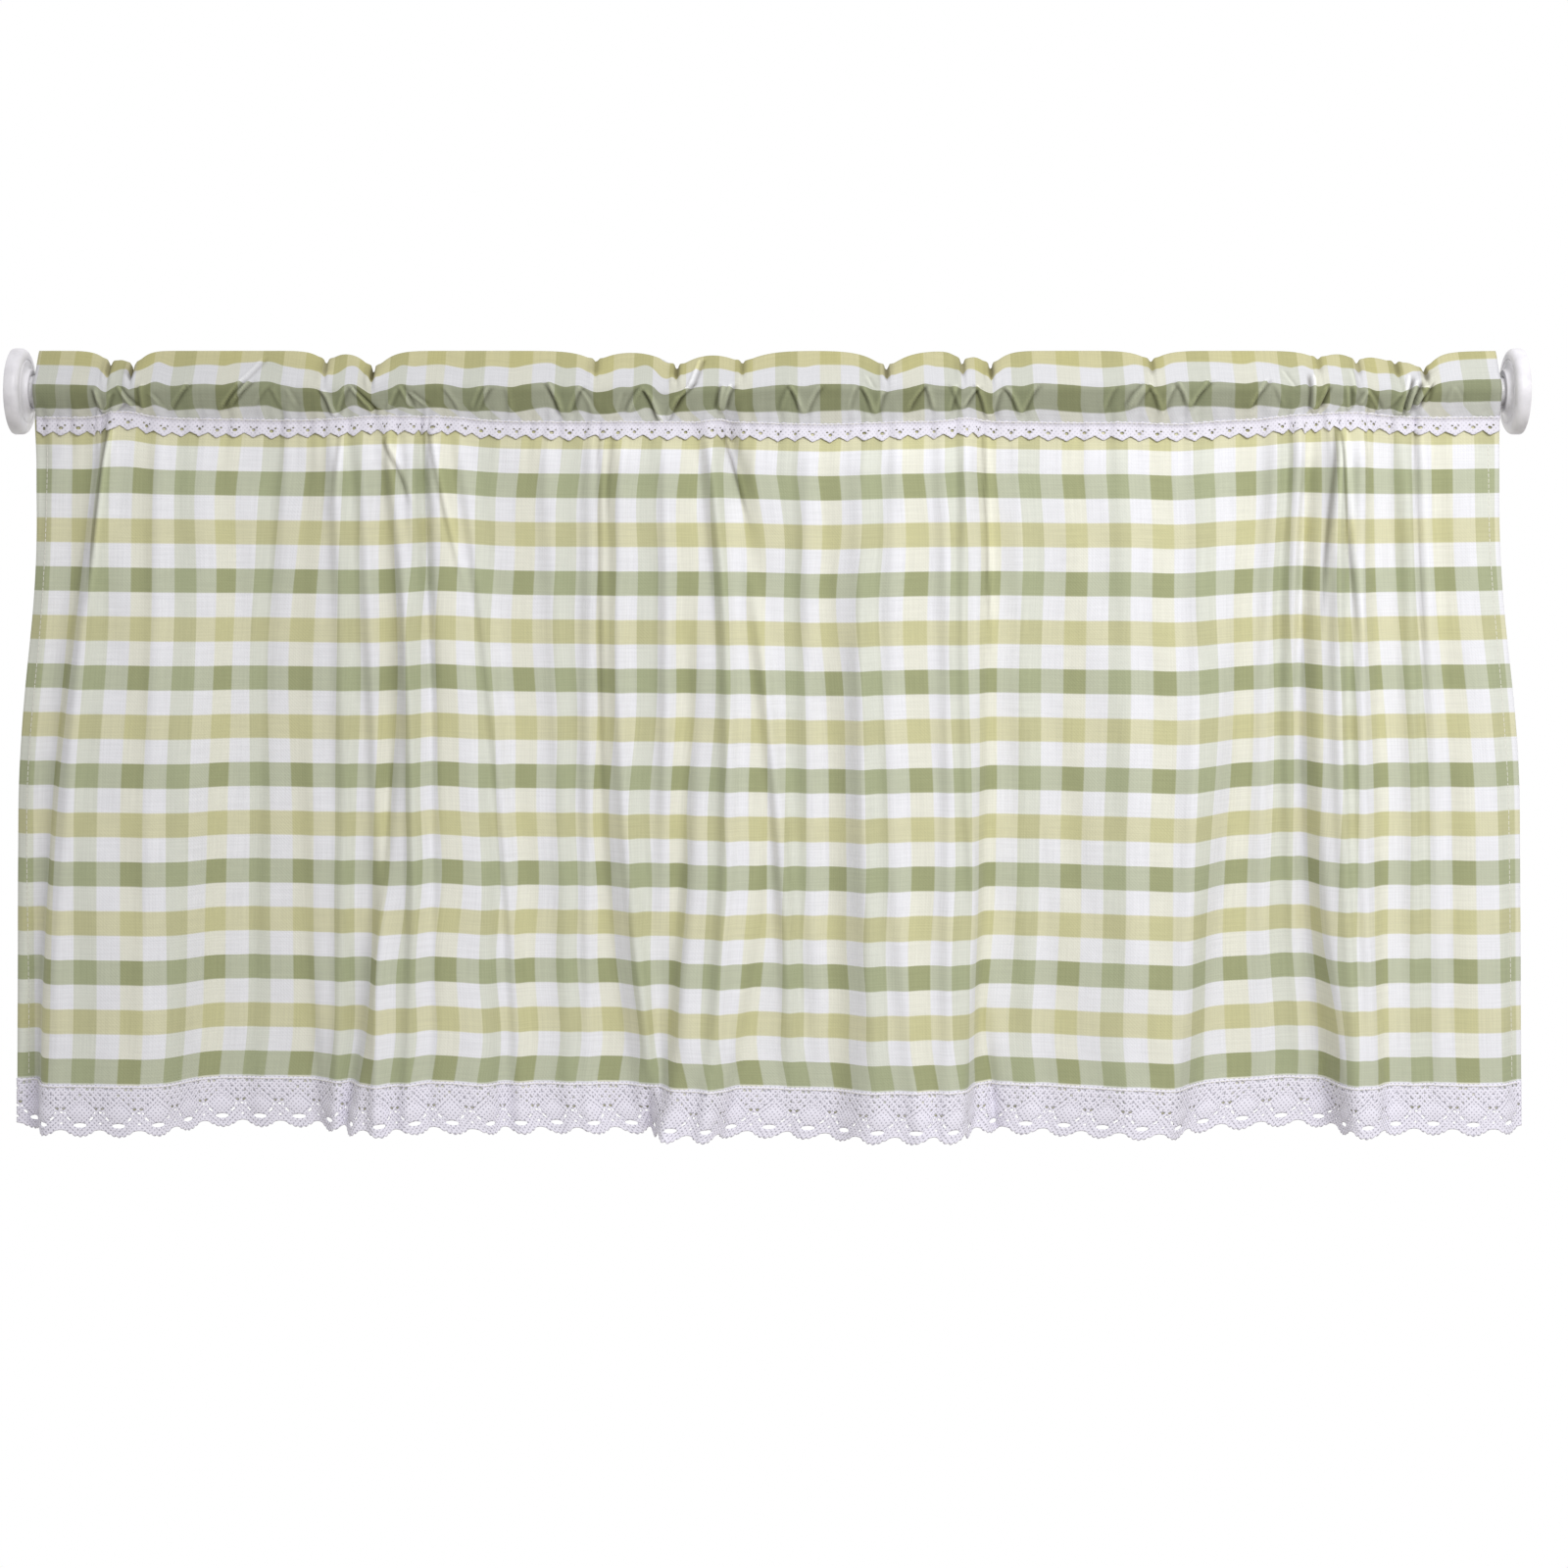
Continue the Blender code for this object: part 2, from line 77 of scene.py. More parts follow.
# %% [markdown]
# ## How the cloth hangs
# Gathered cloth doesn't hang in even waves. Where it is bunched on the rod it leaves the seam in
# tight pleats, and further down these run together into a few broad folds. The drape is
# therefore written as two short tables. A step is a place where the cloth comes forward or
# falls back and stays there, and a pleat is a narrow ridge or trough. Each is read at three
# heights, because folds wander and swell on their way down. A simulation would hang well too,
# but never with these folds in these places.

# %% The folds, in millimetres from the left pad
ROD_SPAN = 1173.0
SEAM_DEPTH = -6.0            # the pocket's seam, and the plane the cloth hangs in
SEAM_HEIGHT = -14.3
CLOTH_HEM = -553.5
FOLD_TOP, FOLD_HEM = -58.0, -516.0   # heights of the top and hem columns of both tables
FOLDS_RUN_ON = (-0.1, 1.15)  # how far past those two the folds still change, as shares
SEAM_SHARE = 0.2             # share of a fold's depth that the seam still has
HANG = (-6.0, -10.0, -12.0)
MIDDLE_SAG = 4.5

# x top, x middle, x hem, half width, rise top, rise middle, rise hem
STEPS = (
    (69, 37, 24, 4.6, 12, 22, 30),
    (169, 151, 134, 13.7, -6, -30, -44),
    (235, 226, 235, 5.3, 4, 4, 8),
    (307, 297, 270, 4.6, 10, 14, 24),
    (336, 368, 374, 6.9, -14, -20, -20),
    (456, 459, 482, 5.3, 7, 12, 9),
    (526, 528, 511, 4.6, -8, 12, 24),
    (570, 587, 561, 5.3, 8, -6, -18),
    (637, 647, 651, 12.2, 5, 16, 24),
    (750, 753, 744, 4.6, -12, -26, -36),
    (820, 831, 831, 33.5, 5, 22, 24),
    (953, 941, 915, 12.2, -6, -28, -32),
    (1010, 1008, 1025, 4.6, 12, 30, 40),
    (1052, 1057, 1060, 5.3, -12, -14, -14),
    (1110, 1118, 1115, 10.7, 6, 12, 10),
    (1142, 1154, 1159, 6.1, -5, -10, -14),
)
# x top, x middle, x hem, half width, height top, height middle, height hem
PLEATS = (
    (35, 15, 6, 6.9, 3.7, 6, 6.8),
    (75, 50, 38, 6.1, 10.5, 6, 1.7),
    (117, 111, 104, 7.6, 5, 3, 1.7),
    (203, 189, 180, 7.6, -4.3, -3.8, -2.5),
    (253, 256, 252, 6.1, 7.4, 5.2, 7.6),
    (273, 282, 285, 6.1, 6.2, 7.5, 7.6),
    (296, 311, 310, 5.3, 9.3, 9, 5.1),
    (319, 325, 325, 5.3, -14, -6.8, -2.5),
    (351, 377, 393, 6.9, 5.6, 11.2, 6.8),
    (416, 424, 432, 7.6, 3.7, 4.5, 3.4),
    (450, 447, 447, 6.1, 5, 6.8, 4.2),
    (474, 474, 496, 6.1, 7.4, 7.5, 10.2),
    (508, 508, 499, 6.1, 5, 6.8, -6.8),
    (544, 557, 544, 6.1, 13, 10.2, 6),
    (561, 592, 604, 6.1, -9, 11.9, 3.4),
    (618, 619, 627, 7.6, 5, 6, 1.7),
    (660, 660, 668, 7.6, 4.4, 8.2, 2.5),
    (687, 683, 698, 7.6, 5, 4.5, 4.2),
    (723, 727, 725, 6.1, 4.4, 6, 4.2),
    (740, 740, 758, 5.3, 6.8, 5.2, -5.1),
    (782, 786, 790, 9.1, 3.7, 3.8, 2.5),
    (862, 866, 866, 9.1, 3.1, 2.2, 1.7),
    (923, 916, 904, 7.6, 3.1, 4.5, 2.5),
    (981, 973, 973, 6.9, 6.8, 6, 1.7),
    (997, 994, 1003, 5.3, 14, 7.6, 2.5),
    (1026, 1028, 1039, 5.3, 14, 9.3, 3.4),
    (1045, 1045, 1051, 5.3, 7.4, 7.5, 2.5),
    (1080, 1087, 1087, 6.1, 7.4, 7.5, 2.5),
    (1096, 1104, 1106, 6.1, 5.6, 6, 2.5),
)
# the seam is pulled up where the pocket is bunched: x, half width, lift
SEAM_LIFTS = ((88, 20, 5.0), (283, 30, 3.0), (550, 11, 2.5), (740, 14, 2.5), (1040, 34, 4.5))
# the warp was sewn in a little high or low: x, half width, rise of the whole row
ROW_RISES = ((332, 34, 3.2), (630, 45, -1.8), (836, 45, -1.2), (904, 30, -2.6), (996, 24, 2.4))
# sharp creases that start at the seam: z at the top and the end, x at the top, half way and at
# the end, strength
CREASES = (
    (-36, -191, 75, 66, 59, 1.0), (-34, -90, 255, 252, 249, 0.6), (-41, -95, 290, 304, 311, 0.9),
    (-37, -168, 325, 338, 354, 0.6), (-31, -107, 552, 564, 575, 0.9),
    (-37, -229, 754, 757, 761, 0.7), (-31, -221, 1026, 1018, 1012, 0.9),
    (-31, -229, 1029, 1037, 1045, 1.0), (-31, -290, 1089, 1094, 1099, 0.6),
    (-37, -366, 456, 456, 458, 0.5), (-37, -120, 466, 463, 464, 0.4),
)
# the cloth has slid along its row, so the check lies further left: x, z, half width, half
# height, slide
SLIDES = (
    (172, -77, 40, 45, 5.0), (492, -77, 150, 50, 4.5), (218, -200, 45, 95, 12.0),
    (400, -168, 90, 90, 6.5), (652, -150, 60, 55, 10.0), (485, -351, 150, 95, 14.5),
    (881, -343, 95, 110, 9.0), (569, -488, 50, 90, 3.5), (332, -527, 100, 60, -5.0),
    (980, -503, 70, 60, -9.0), (940, -150, 130, 60, 4.0), (640, -470, 60, 40, -4.0),
    (690, -210, 140, 240, 5.0), (425, -150, 50, 110, 3.0), (80, -90, 45, 80, 4.0),
)
# cross-section of a sharp crease, and of the painted shade across it: parts of a height (or
# painted shade), a distance from the crease and a half width
CREASE_SECTION = ((1.7, 3.4, 2.8), (-2.6, 0.0, 2.4))
CREASE_PAINTED_SHADE = ((0.75, 0.0, 1.9), (-0.35, 3.6, 2.2))
print(f"{len(STEPS)} steps and {len(PLEATS)} pleats")


# %% Smooth steps and ridges
def ease(t):
    """0 below 0, 1 above 1 and a smooth rise between."""
    t = np.clip(t, 0.0, 1.0)
    return t * t * (3 - 2 * t)


def swell(value, start, full):
    """0 at the start and before it, 1 at full and past it. full may be the smaller number."""
    return ease((value - start) / (full - start))


def bell(x, centre, half):
    """1 at the centre, 0.37 at half a width to each side, and soon nothing."""
    return np.exp(-((x - centre) / half) ** 2)


def section(x, line, parts):
    """Height across a crease, added up from parts: size, distance from its line, half width."""
    return sum(size * bell(x, line + side, half) for size, side, half in parts)


print("half way up a step:", float(ease(0.5)), "beside a ridge:", round(float(bell(1, 0, 1)), 2))


# %% The hanging surface
INSET, FLARE = 19.0, 16.0            # cloth edge to the pads' outer faces, less lower down
FLARE_TOP, FLARE_FOOT = -90.0, -330.0
CREASE_TOP, CREASE_FOOT = (-0.15, 0.0), (1.0, 0.4)   # shares of its length over which it fades


def along(top, middle, hem, h):
    """Smooth curve through the values at h = 0, 0.5 and 1."""
    return top * (1 - h) * (1 - 2 * h) + middle * 4 * h * (1 - h) + hem * h * (2 * h - 1)


def fold_depth(x, z):
    """How far the cloth stands in front of its hanging plane."""
    h = np.clip((FOLD_TOP - z) / (FOLD_TOP - FOLD_HEM), *FOLDS_RUN_ON)
    depth = along(*HANG, h) + 0 * x
    for x_top, x_mid, x_hem, half, r_top, r_mid, r_hem in STEPS:
        centre = along(x_top, x_mid, x_hem, h)
        depth = depth + along(r_top, r_mid, r_hem, h) * 0.5 * (1 + np.tanh((x - centre) / half))
    for x_top, x_mid, x_hem, half, p_top, p_mid, p_hem in PLEATS:
        centre = along(x_top, x_mid, x_hem, h)
        depth = depth + along(p_top, p_mid, p_hem, h) * bell(x, centre, half)
    return depth


def edge_inset(z):
    """How far the cloth's edge lies inside the pads' outer faces. The sides flare a little."""
    return INSET - FLARE * swell(z, FLARE_TOP, FLARE_FOOT)


def creases_at(x, z):
    """Depth of the sharp creases, and the shade painted along them (0 to 1; below 0 a painted
    highlight).
    """
    depth, painted_shade = 0 * x, 0 * x
    for z_top, z_end, x_top, x_mid, x_end, strength in CREASES:
        t = (z_top - z) / (z_top - z_end)
        if CREASE_TOP[0] < t < CREASE_FOOT[0]:
            line = along(x_top, x_mid, x_end, max(t, 0))
            fade = strength * float(swell(t, *CREASE_TOP) * swell(t, *CREASE_FOOT))
            depth = depth + fade * section(x, line, CREASE_SECTION)
            painted_shade = painted_shade + fade * section(x, line, CREASE_PAINTED_SHADE)
    return depth, np.clip(painted_shade, -0.5, 1)


# %% How wide the cloth is laid flat
SPAN_SHARES = np.linspace(0, 1, 1800)


def x_of(z, shares):
    """X of points that are given shares of the cloth's width along a row at height z. They are
    spaced along the cloth itself, so they crowd together where a fold turns away."""
    z = min(z, FOLD_TOP)
    inset = edge_inset(z)
    x = inset + (ROD_SPAN - 2 * inset) * SPAN_SHARES
    rise = np.diff(fold_depth(x, z))
    cloth = np.concatenate([[0.0], np.cumsum(np.hypot(np.diff(x), rise))])
    return np.interp(shares * cloth[-1], cloth, x), cloth[-1]


row_widths = [x_of(z, SPAN_SHARES)[1] for z in np.linspace(FOLD_TOP, CLOTH_HEM, 12)]
FLAT_WIDTH = float(np.mean(row_widths))
print(f"cloth {FLAT_WIDTH:.0f} mm wide laid flat, rows within "
      f"{min(row_widths):.0f} to {max(row_widths):.0f} mm")

# %% [markdown]
# ## Small gathers
# Below the seam the cloth is still puckered by the stitching. These gathers are only a
# millimetre or so deep and die out within a hand's breadth. Lower down, cotton that has been
# folded in a packet keeps a faint unevenness. Both are made by adding up a few long waves
# with fixed, seeded phases, so that the cloth is the same on every run.

# %% Gathers and unevenness
GATHER_DEPTH, GATHER_REACH = 1.1, 45.0   # depth at the seam, and how far down it is felt
UNEVEN_DEPTH, UNEVEN_FROM = 0.9, 60.0    # depth of the unevenness, and where it is full
PLAIN_HEAD = 6.0                         # the stitching holds the cloth flat this far down
GATHER_SUM, UNEVEN_SUM = 3.0, 4.0        # bring the sums of waves down to about one
rng = np.random.default_rng(11)
GATHERS = [(rng.uniform(11, 24), rng.uniform(0, 2 * math.pi), rng.uniform(0.3, 1.0))
           for _ in range(9)]
UNEVEN = [(rng.uniform(28, 90), rng.uniform(120, 420), rng.uniform(0, 2 * math.pi),
           rng.uniform(0.3, 1.0)) for _ in range(12)]


def small_relief(cloth_x, z):
    """Extra depth, from the distance along the cloth and the height."""
    below = SEAM_HEIGHT - z
    gather = sum(size * np.sin(2 * math.pi * cloth_x / pitch + phase
                               + 0.5 * np.sin(cloth_x / 37 + phase))
                 for pitch, phase, size in GATHERS) / GATHER_SUM
    uneven = sum(size * np.sin(2 * math.pi * (cloth_x / across + z / down) + phase)
                 for across, down, phase, size in UNEVEN) / UNEVEN_SUM
    return ease(below / PLAIN_HEAD) * (
        GATHER_DEPTH * gather * np.exp(-below / GATHER_REACH)
        + UNEVEN_DEPTH * uneven * ease(below / UNEVEN_FROM))


print(f"{len(GATHERS)} gathers, the widest {max(pitch for pitch, _, _ in GATHERS):.0f} mm across")


# %% A row of the cloth
def seam_shift(x, z):
    """Raises or lowers a point for the sag of the span and the lifts along the seam."""
    sag = -MIDDLE_SAG * (1 - ((x - ROD_SPAN / 2) / (ROD_SPAN / 2)) ** 2)
    lift = sum(up * bell(x, centre, half) for centre, half, up in SEAM_LIFTS)
    rise = sum(up * bell(x, centre, half) for centre, half, up in ROW_RISES)
    return sag + rise + lift * (1 - ease((SEAM_HEIGHT - z) / (2 * (SEAM_HEIGHT - FOLD_TOP))))


def cloth_row(z, shares):
    """Points in millimetres on the hanging cloth at height z."""
    x, _ = x_of(z, shares)
    x = x - sum(slide * bell(x, centre, half) * bell(z, height, tall)
                for centre, height, half, tall, slide in SLIDES)
    share = SEAM_SHARE + (1 - SEAM_SHARE) * ease((SEAM_HEIGHT - z) / (SEAM_HEIGHT - FOLD_TOP))
    depth = fold_depth(x, z) * share + small_relief(shares * FLAT_WIDTH, z) + creases_at(x, z)[0]
    return np.stack([x, SEAM_DEPTH - depth, z + seam_shift(x, z)], axis=1)


def square_to(across, down):
    """Unit vectors square to two directions in the cloth, towards the room."""
    normal = np.cross(across, -down)
    normal *= np.where(normal[..., 1:2] > 0, -1.0, 1.0)
    return normal / np.maximum(np.linalg.norm(normal, axis=-1, keepdims=True), 1e-9)


NEXT_SHARE, NEXT_ROW = 0.0008, 1.5   # how far to each side the slope is read


def facing(z, shares):
    """Unit normals of the cloth at height z, towards the room."""
    across = cloth_row(z, shares + NEXT_SHARE) - cloth_row(z, shares - NEXT_SHARE)
    down = cloth_row(z - NEXT_ROW, shares) - cloth_row(z + NEXT_ROW, shares)
    return square_to(across, down)


hem_places = cloth_row(CLOTH_HEM, np.linspace(0, 1, 5))
print("places along the hem in mm:", np.round(hem_places, 1).tolist())

# %% [markdown]
# ## Turning points into a sheet
# A sheet is made as a grid of points with a UV map that holds its flat size in metres: U runs
# across the cloth and V down it. Solidify then gives the grid its thickness, half to each
# side.

# %% Mesh helpers
def select_only(piece):
    bpy.ops.object.select_all(action="DESELECT")
    piece.select_set(True)
    bpy.context.view_layer.objects.active = piece


def apply_modifiers(piece):
    select_only(piece)
    for modifier in list(piece.modifiers):
        bpy.ops.object.modifier_apply(modifier=modifier.name)


def sheet_piece(name, points, flat, faces, thickness, painted_shade=None):
    """A sheet from points (n, 3) and flat places (n, 2), both in millimetres, and quads. The last
    argument is the painted shade at each point, kept as an attribute for the material."""
    mesh = bpy.data.meshes.new(name)
    mesh.from_pydata((points * MM).tolist(), [], faces)
    layer = mesh.uv_layers.new(name="flat")
    corner = np.zeros(len(mesh.loops), dtype=np.int32)
    mesh.loops.foreach_get("vertex_index", corner)
    layer.uv.foreach_set("vector", (flat[corner] * MM).astype(np.float32).ravel())
    if painted_shade is not None:
        mesh.attributes.new("painted_shade", "FLOAT", "POINT").data.foreach_set(
            "value", np.asarray(painted_shade, dtype=np.float32))
    piece = bpy.data.objects.new(name, mesh)
    bpy.context.scene.collection.objects.link(piece)
    solid = piece.modifiers.new("thickness", "SOLIDIFY")
    solid.thickness = thickness * MM
    solid.offset = 0.0
    solid.use_even_offset = False
    apply_modifiers(piece)
    piece.data.shade_smooth()
    return piece


def grid_faces(rows, columns):
    """Quads of a grid, facing the room."""
    r, c = np.meshgrid(np.arange(rows - 1), np.arange(columns - 1), indexing="ij")
    corner = (r * columns + c).ravel()
    return np.stack([corner, corner + columns, corner + columns + 1, corner + 1], axis=1).tolist()


print("a grid of 3 rows and 4 columns has", len(grid_faces(3, 4)), "faces")

# %% [markdown]
# ## The panel
# The panel hangs from the pocket's seam to just below the head of the wide lace. Its sides and
# its foot are turned to the back and stitched down, so the grid starts behind one side edge,
# comes round it, crosses the front and goes round the other edge, and at the foot it turns up
# behind itself in the same way. The cotton is a light plain weave, a third of a millimetre
# thick; it is drawn at twice that so that its edge still shows.

# %% Sizes of the panel, in millimetres
CLOTH_THICKNESS = 0.7
COLUMNS, PANEL_ROWS = 540, 82
ROWS_CROWD = 1.6                     # above 1, the rows lie closer together near the seam
SIDE_HEM, FOOT_HEM = 11.0, 16.0      # width of the cloth turned to the back
TURN_BEHIND = 1.1                    # how far behind the front layer it lies
TURN_STARTS = 0.8                    # where it leaves the fold
FOLD_OUT = 0.35                      # how far the folded edge stands out
# painted shade: the panel's colour is darkened just under the sleeve's roll
SLEEVE_PAINTED_SHADE = 0.18                  # shade under the sleeve's roll, where the cloth is bunched
SHADE_FOOT, SHADE_FULL = -27.0, -19.0


def turned_edge(width, steps):
    """The turned part from its raw edge to the fold: distances from the fold, and shares of
    the way to the back."""
    distances = np.append(np.linspace(width, TURN_STARTS, steps), -FOLD_OUT)
    return distances, np.append(np.ones(steps), 0.5)


print("side hem, distances from its fold in mm:", np.round(turned_edge(SIDE_HEM, 3)[0], 1))

# %% Build the panel
side_in, side_back = turned_edge(SIDE_HEM, 3)
foot_in, foot_back = (values[::-1] for values in turned_edge(FOOT_HEM, 4))
shares = np.linspace(0, 1, COLUMNS)
column_shares = np.concatenate([side_in / FLAT_WIDTH, shares, 1 - side_in[::-1] / FLAT_WIDTH])
column_flat = np.concatenate([-side_in, shares * FLAT_WIDTH, FLAT_WIDTH + side_in[::-1]])
column_back = np.concatenate([side_back, 0 * shares, side_back[::-1]])
heights = SEAM_HEIGHT - (SEAM_HEIGHT - CLOTH_HEM) * np.linspace(0, 1, PANEL_ROWS) ** ROWS_CROWD
row_flat = SEAM_HEIGHT - np.concatenate([heights, CLOTH_HEM - foot_in])
row_back = np.concatenate([0 * heights, foot_back])
heights = np.concatenate([heights, CLOTH_HEM + foot_in])
back = np.add.outer(row_back, column_back) * TURN_BEHIND
panel_points = np.array([cloth_row(z, column_shares) - facing(z, column_shares) * away[:, None]
                         for z, away in zip(heights, back)])
panel_points[..., 0] += FOLD_OUT * ((column_shares > 1).astype(int) - (column_shares < 0))
panel_flat = np.stack(np.meshgrid(column_flat, row_flat), axis=2)
# painted shade on the panel: along its creases, and under the sleeve's roll
panel_painted_shade = np.array([
    creases_at(row[:, 0], z)[1] + SLEEVE_PAINTED_SHADE * swell(z, SHADE_FOOT, SHADE_FULL)
    for row, z in zip(panel_points, heights)])
panel = sheet_piece("panel", panel_points.reshape(-1, 3), panel_flat.reshape(-1, 2),
                    grid_faces(len(heights), len(column_shares)), CLOTH_THICKNESS,
                    painted_shade=panel_painted_shade.ravel())
print(f"panel: {len(panel.data.polygons)} faces")

# %% [markdown]
# ## The rod pocket
# The top of the cloth is folded back over the rod and stitched down, which leaves a sleeve. It
# is roomier than the rod, so between the pinches it stands up in stiff little arches, and at
# each pinch it dips until it rests on the metal. The sleeve is drawn as a section of eight
# points in two states, arched and resting, and every column of the grid is a blend of the two.
# In front the sleeve runs on past the seam for 6 mm, where the narrow lace covers its edge.

# %% Shape of the sleeve, in millimetres
CHECK_REPEATS = 19.25        # of the check, across the cloth
CHECK_PITCH = (FLAT_WIDTH / CHECK_REPEATS, 75.7)     # four stripes of warp, four of weft
GREEN_START = (-3.75, 45.5)  # where a green stripe begins, from the left edge and the seam
# y and z where the sleeve stands in an arch, y and z where it rests on the rod
POCKET_SECTION = (
    (-14.2, -6.0, -14.4, -7.6),
    (-15.6, 4.0, -15.6, -1.4),
    (-6.0, 16.5, -13.4, 7.2),
    (4.0, 31.0, -0.5, 17.2),
    (9.0, 29.5, 8.5, 14.8),
    (15.0, 5.0, 15.2, 4.0),
    (13.0, -8.5, 13.0, -8.5),
    (3.0, -16.0, 3.0, -16.0),
)
# x, half width, share of the arch that is lost (the cloth rests on the rod at 1 and over)
DIPS = (
    (75, 7, 0.9), (93, 6, 1.2), (243, 7, 0.8), (280, 9, 1.4), (453, 11, 0.7), (516, 13, 1.15),
    (567, 13, 0.8), (679, 12, 1.2), (738, 5, 0.8), (760, 8, 1.15), (885, 9, 0.7), (1015, 9, 0.5),
    (1045, 5, 0.6), (1075, 20, 0.8), (1097, 7, 1.2),
)
# creases: x and z of the foot, x and z of the top, and how sharp. The hollow lies on the right
# of the ridge, or on its left where the last number is negative
SLEEVE_CREASES = (
    (71, -15, 67, 1, -1), (74, -15, 78, -1, 0.8), (95, -11, 85, 6, 1.3), (79, -21, 87, -10, 0.8),
    (103, -13, 102, 5, -0.8), (116, -10, 109, -2, 0.5), (124, -13, 137, 4, 1.2),
    (163, -12, 178, 6, 1.3), (171, -10, 185, 6, 1.3), (179, 7, 193, 23, 0.7),
    (189, -10, 199, 3, 0.5), (210, -11, 204, 1, -0.4), (221, -10, 215, 1, 0.4),
    (251, -16, 243, 2, -1.1), (253, -16, 260, 2, 1), (280, -13, 265, 4, 1.5),
    (283, -25, 279, -13, 0.8), (293, -13, 299, 0, 0.8), (310, -11, 303, 3, 1),
    (321, -10, 309, -1, 0.8), (348, -13, 338, 1, -0.5), (358, -11, 364, 2, 0.9),
    (362, -12, 370, 1, 1.1), (388, -13, 386, 0, -0.4), (427, -13, 418, 5, -1.3),
    (433, -13, 441, 3, 1.2), (452, -13, 442, 2, 0.6), (469, -15, 473, -3, 0.4),
    (479, -13, 489, 2, -1.1), (505, -19, 493, 0, -1.4), (508, -19, 517, -3, 1.3),
    (514, -10, 527, 8, 1.5), (527, 8, 534, 27, 1.2), (549, -12, 552, 4, -1.2),
    (552, -12, 558, 6, 1.5), (597, -12, 604, 2, -0.6), (613, -12, 605, 3, -1.1),
    (616, -13, 627, 3, 1), (649, -11, 654, 3, 0.6), (669, -13, 661, 3, -1), (671, -13, 676, 3, 1),
    (667, 6, 663, 14, 0.5), (695, -12, 707, 4, 1.3), (715, -11, 710, 4, -0.8),
    (727, -13, 733, 5, 0.8), (738, -11, 748, 4, 1.3), (735, -10, 730, 4, -0.6),
    (757, -15, 749, 5, -1), (760, -15, 765, 0, 0.8), (782, -13, 772, 3, -1.1),
    (784, -13, 794, 3, 1.1), (847, -12, 854, 2, 0.7), (866, -11, 878, 6, -1.1),
    (871, -10, 882, 6, 0.8), (891, -11, 883, 7, -0.9), (893, -12, 900, 3, 0.8),
    (912, -9, 905, 6, -1), (914, -10, 927, 7, 1.4), (960, -11, 972, 7, 1.3),
    (986, -11, 980, 3, -0.4), (993, 3, 986, 15, 0.5), (1009, -14, 1009, 12, -1.8),
    (1012, -13, 1018, 3, 2.0), (1036, -14, 1035, 3, 1.3), (1041, 0, 1039, 18, 0.6),
    (1045, -10, 1050, 1, -0.8), (1060, -15, 1051, 1, 0.8), (1069, -11, 1076, 0, 0.7),
    (1076, -16, 1083, 15, 2.2), (1082, -14, 1089, 12, 2.4), (1089, -10, 1096, 10, 2.3),
    (1095, -7, 1098, 11, 1.2), (1114, -7, 1117, 3, -0.3), (1123, -7, 1118, 3, 0.3),
)
# x, and how far the stripes that run along the sleeve droop there, over what they all do
DROOP_ALL = 1.0
DROOPS = (
    (22, 0), (58, 0.8), (67, -0.8), (74, 3.8), (83, -1.5), (90, -5.3), (96, -1.5), (103, 1.5),
    (113, -3.8), (124, 2.3), (145, 0), (155, -1.5), (162, 2.3), (172, -1.5), (189, -2.3),
    (201, -3), (210, 0.8), (227, 3.8), (237, 0.8), (252, 6.9), (262, -2.3), (268, -3),
    (278, 2.3), (295, 3), (302, -1.5), (311, 1.5), (332, -0.8), (353, 3.8), (372, 0.8),
    (390, 3), (406, -1.5), (418, -2.3), (430, 3), (440, -0.8), (458, 6.1), (472, 1.5),
    (482, 2.3), (491, -2.3), (496, -2.3), (506, 9.1), (516, 0.8), (550, 0), (577, 1.5),
    (599, 0), (615, 2.3), (624, 0), (656, -0.8), (670, 3), (677, 0), (693, 2.3),
    (710, -1.5), (717, 1.5), (730, 1.5), (743, -1.5), (758, 4.6), (769, -1.5), (783, 2.3),
    (795, -1.5), (827, 1.5), (842, 3), (861, 1.5), (871, -2.3), (882, -3), (892, 0),
    (899, -3), (944, -2.3), (956, 0.8), (964, -3), (978, -1.5), (993, 2.3), (1003, -1.5),
    (1009, 1.5), (1019, -3.8), (1033, 0.8), (1045, -2.3), (1058, 4.6), (1069, 0.8), (1077, 4.6),
    (1089, -4.6), (1094, -6.9), (1111, -4.6), (1150, -5.3),
)
# x of the middle of each green and each yellow stripe that runs round the sleeve, in turn
ROUND_STRIPES = (
    31, 53, 83, 102, 133, 169, 202, 236, 255, 274, 300, 329, 358, 395, 431, 459, 491, 517, 543, 567,
    601, 636, 665, 700, 731, 753, 783, 820, 855, 886, 921, 957, 992, 1016, 1037, 1055, 1073, 1099,
    1133,
)
print(f"{len(DIPS)} dips and {len(SLEEVE_CREASES)} creases")

# %% How dips and creases are shaped, in millimetres
# a dip has a pointed core and a skirt that is broader by SKIRT_SPREAD; where dips overlap, the
# cloth presses on the rod no harder than REST_MOST
DIP_CORE, CORE_POWER, DIP_SKIRT, SKIRT_SPREAD = 0.78, 1.3, 0.22, 2.2
REST_SHARE, REST_MOST = 0.80, 1.08
# parts of a size, a distance from the crease or the dip, and a half width
HOLLOW_BESIDE = 2.7
RIDGE_SECTION, HOLLOW_SECTION = ((2.1, 0.0, 1.9),), ((-1.5, 0.0, 1.8),)
# a painted highlight along a crease's ridge and painted shade in its hollow, in the same parts
RIDGE_PAINTED_HIGHLIGHT, HOLLOW_PAINTED_SHADE = ((-0.5, 0.0, 1.7),), ((0.5, 0.0, 1.8),)
DIP_SECTION = ((1.3, -3.4, 2.0), (-1.4, 0.0, 1.9), (1.3, 3.2, 1.9))
FADE_IN, FADE_OUT = (-0.2, 0.1), (1.2, 0.9)      # shares of a crease's length
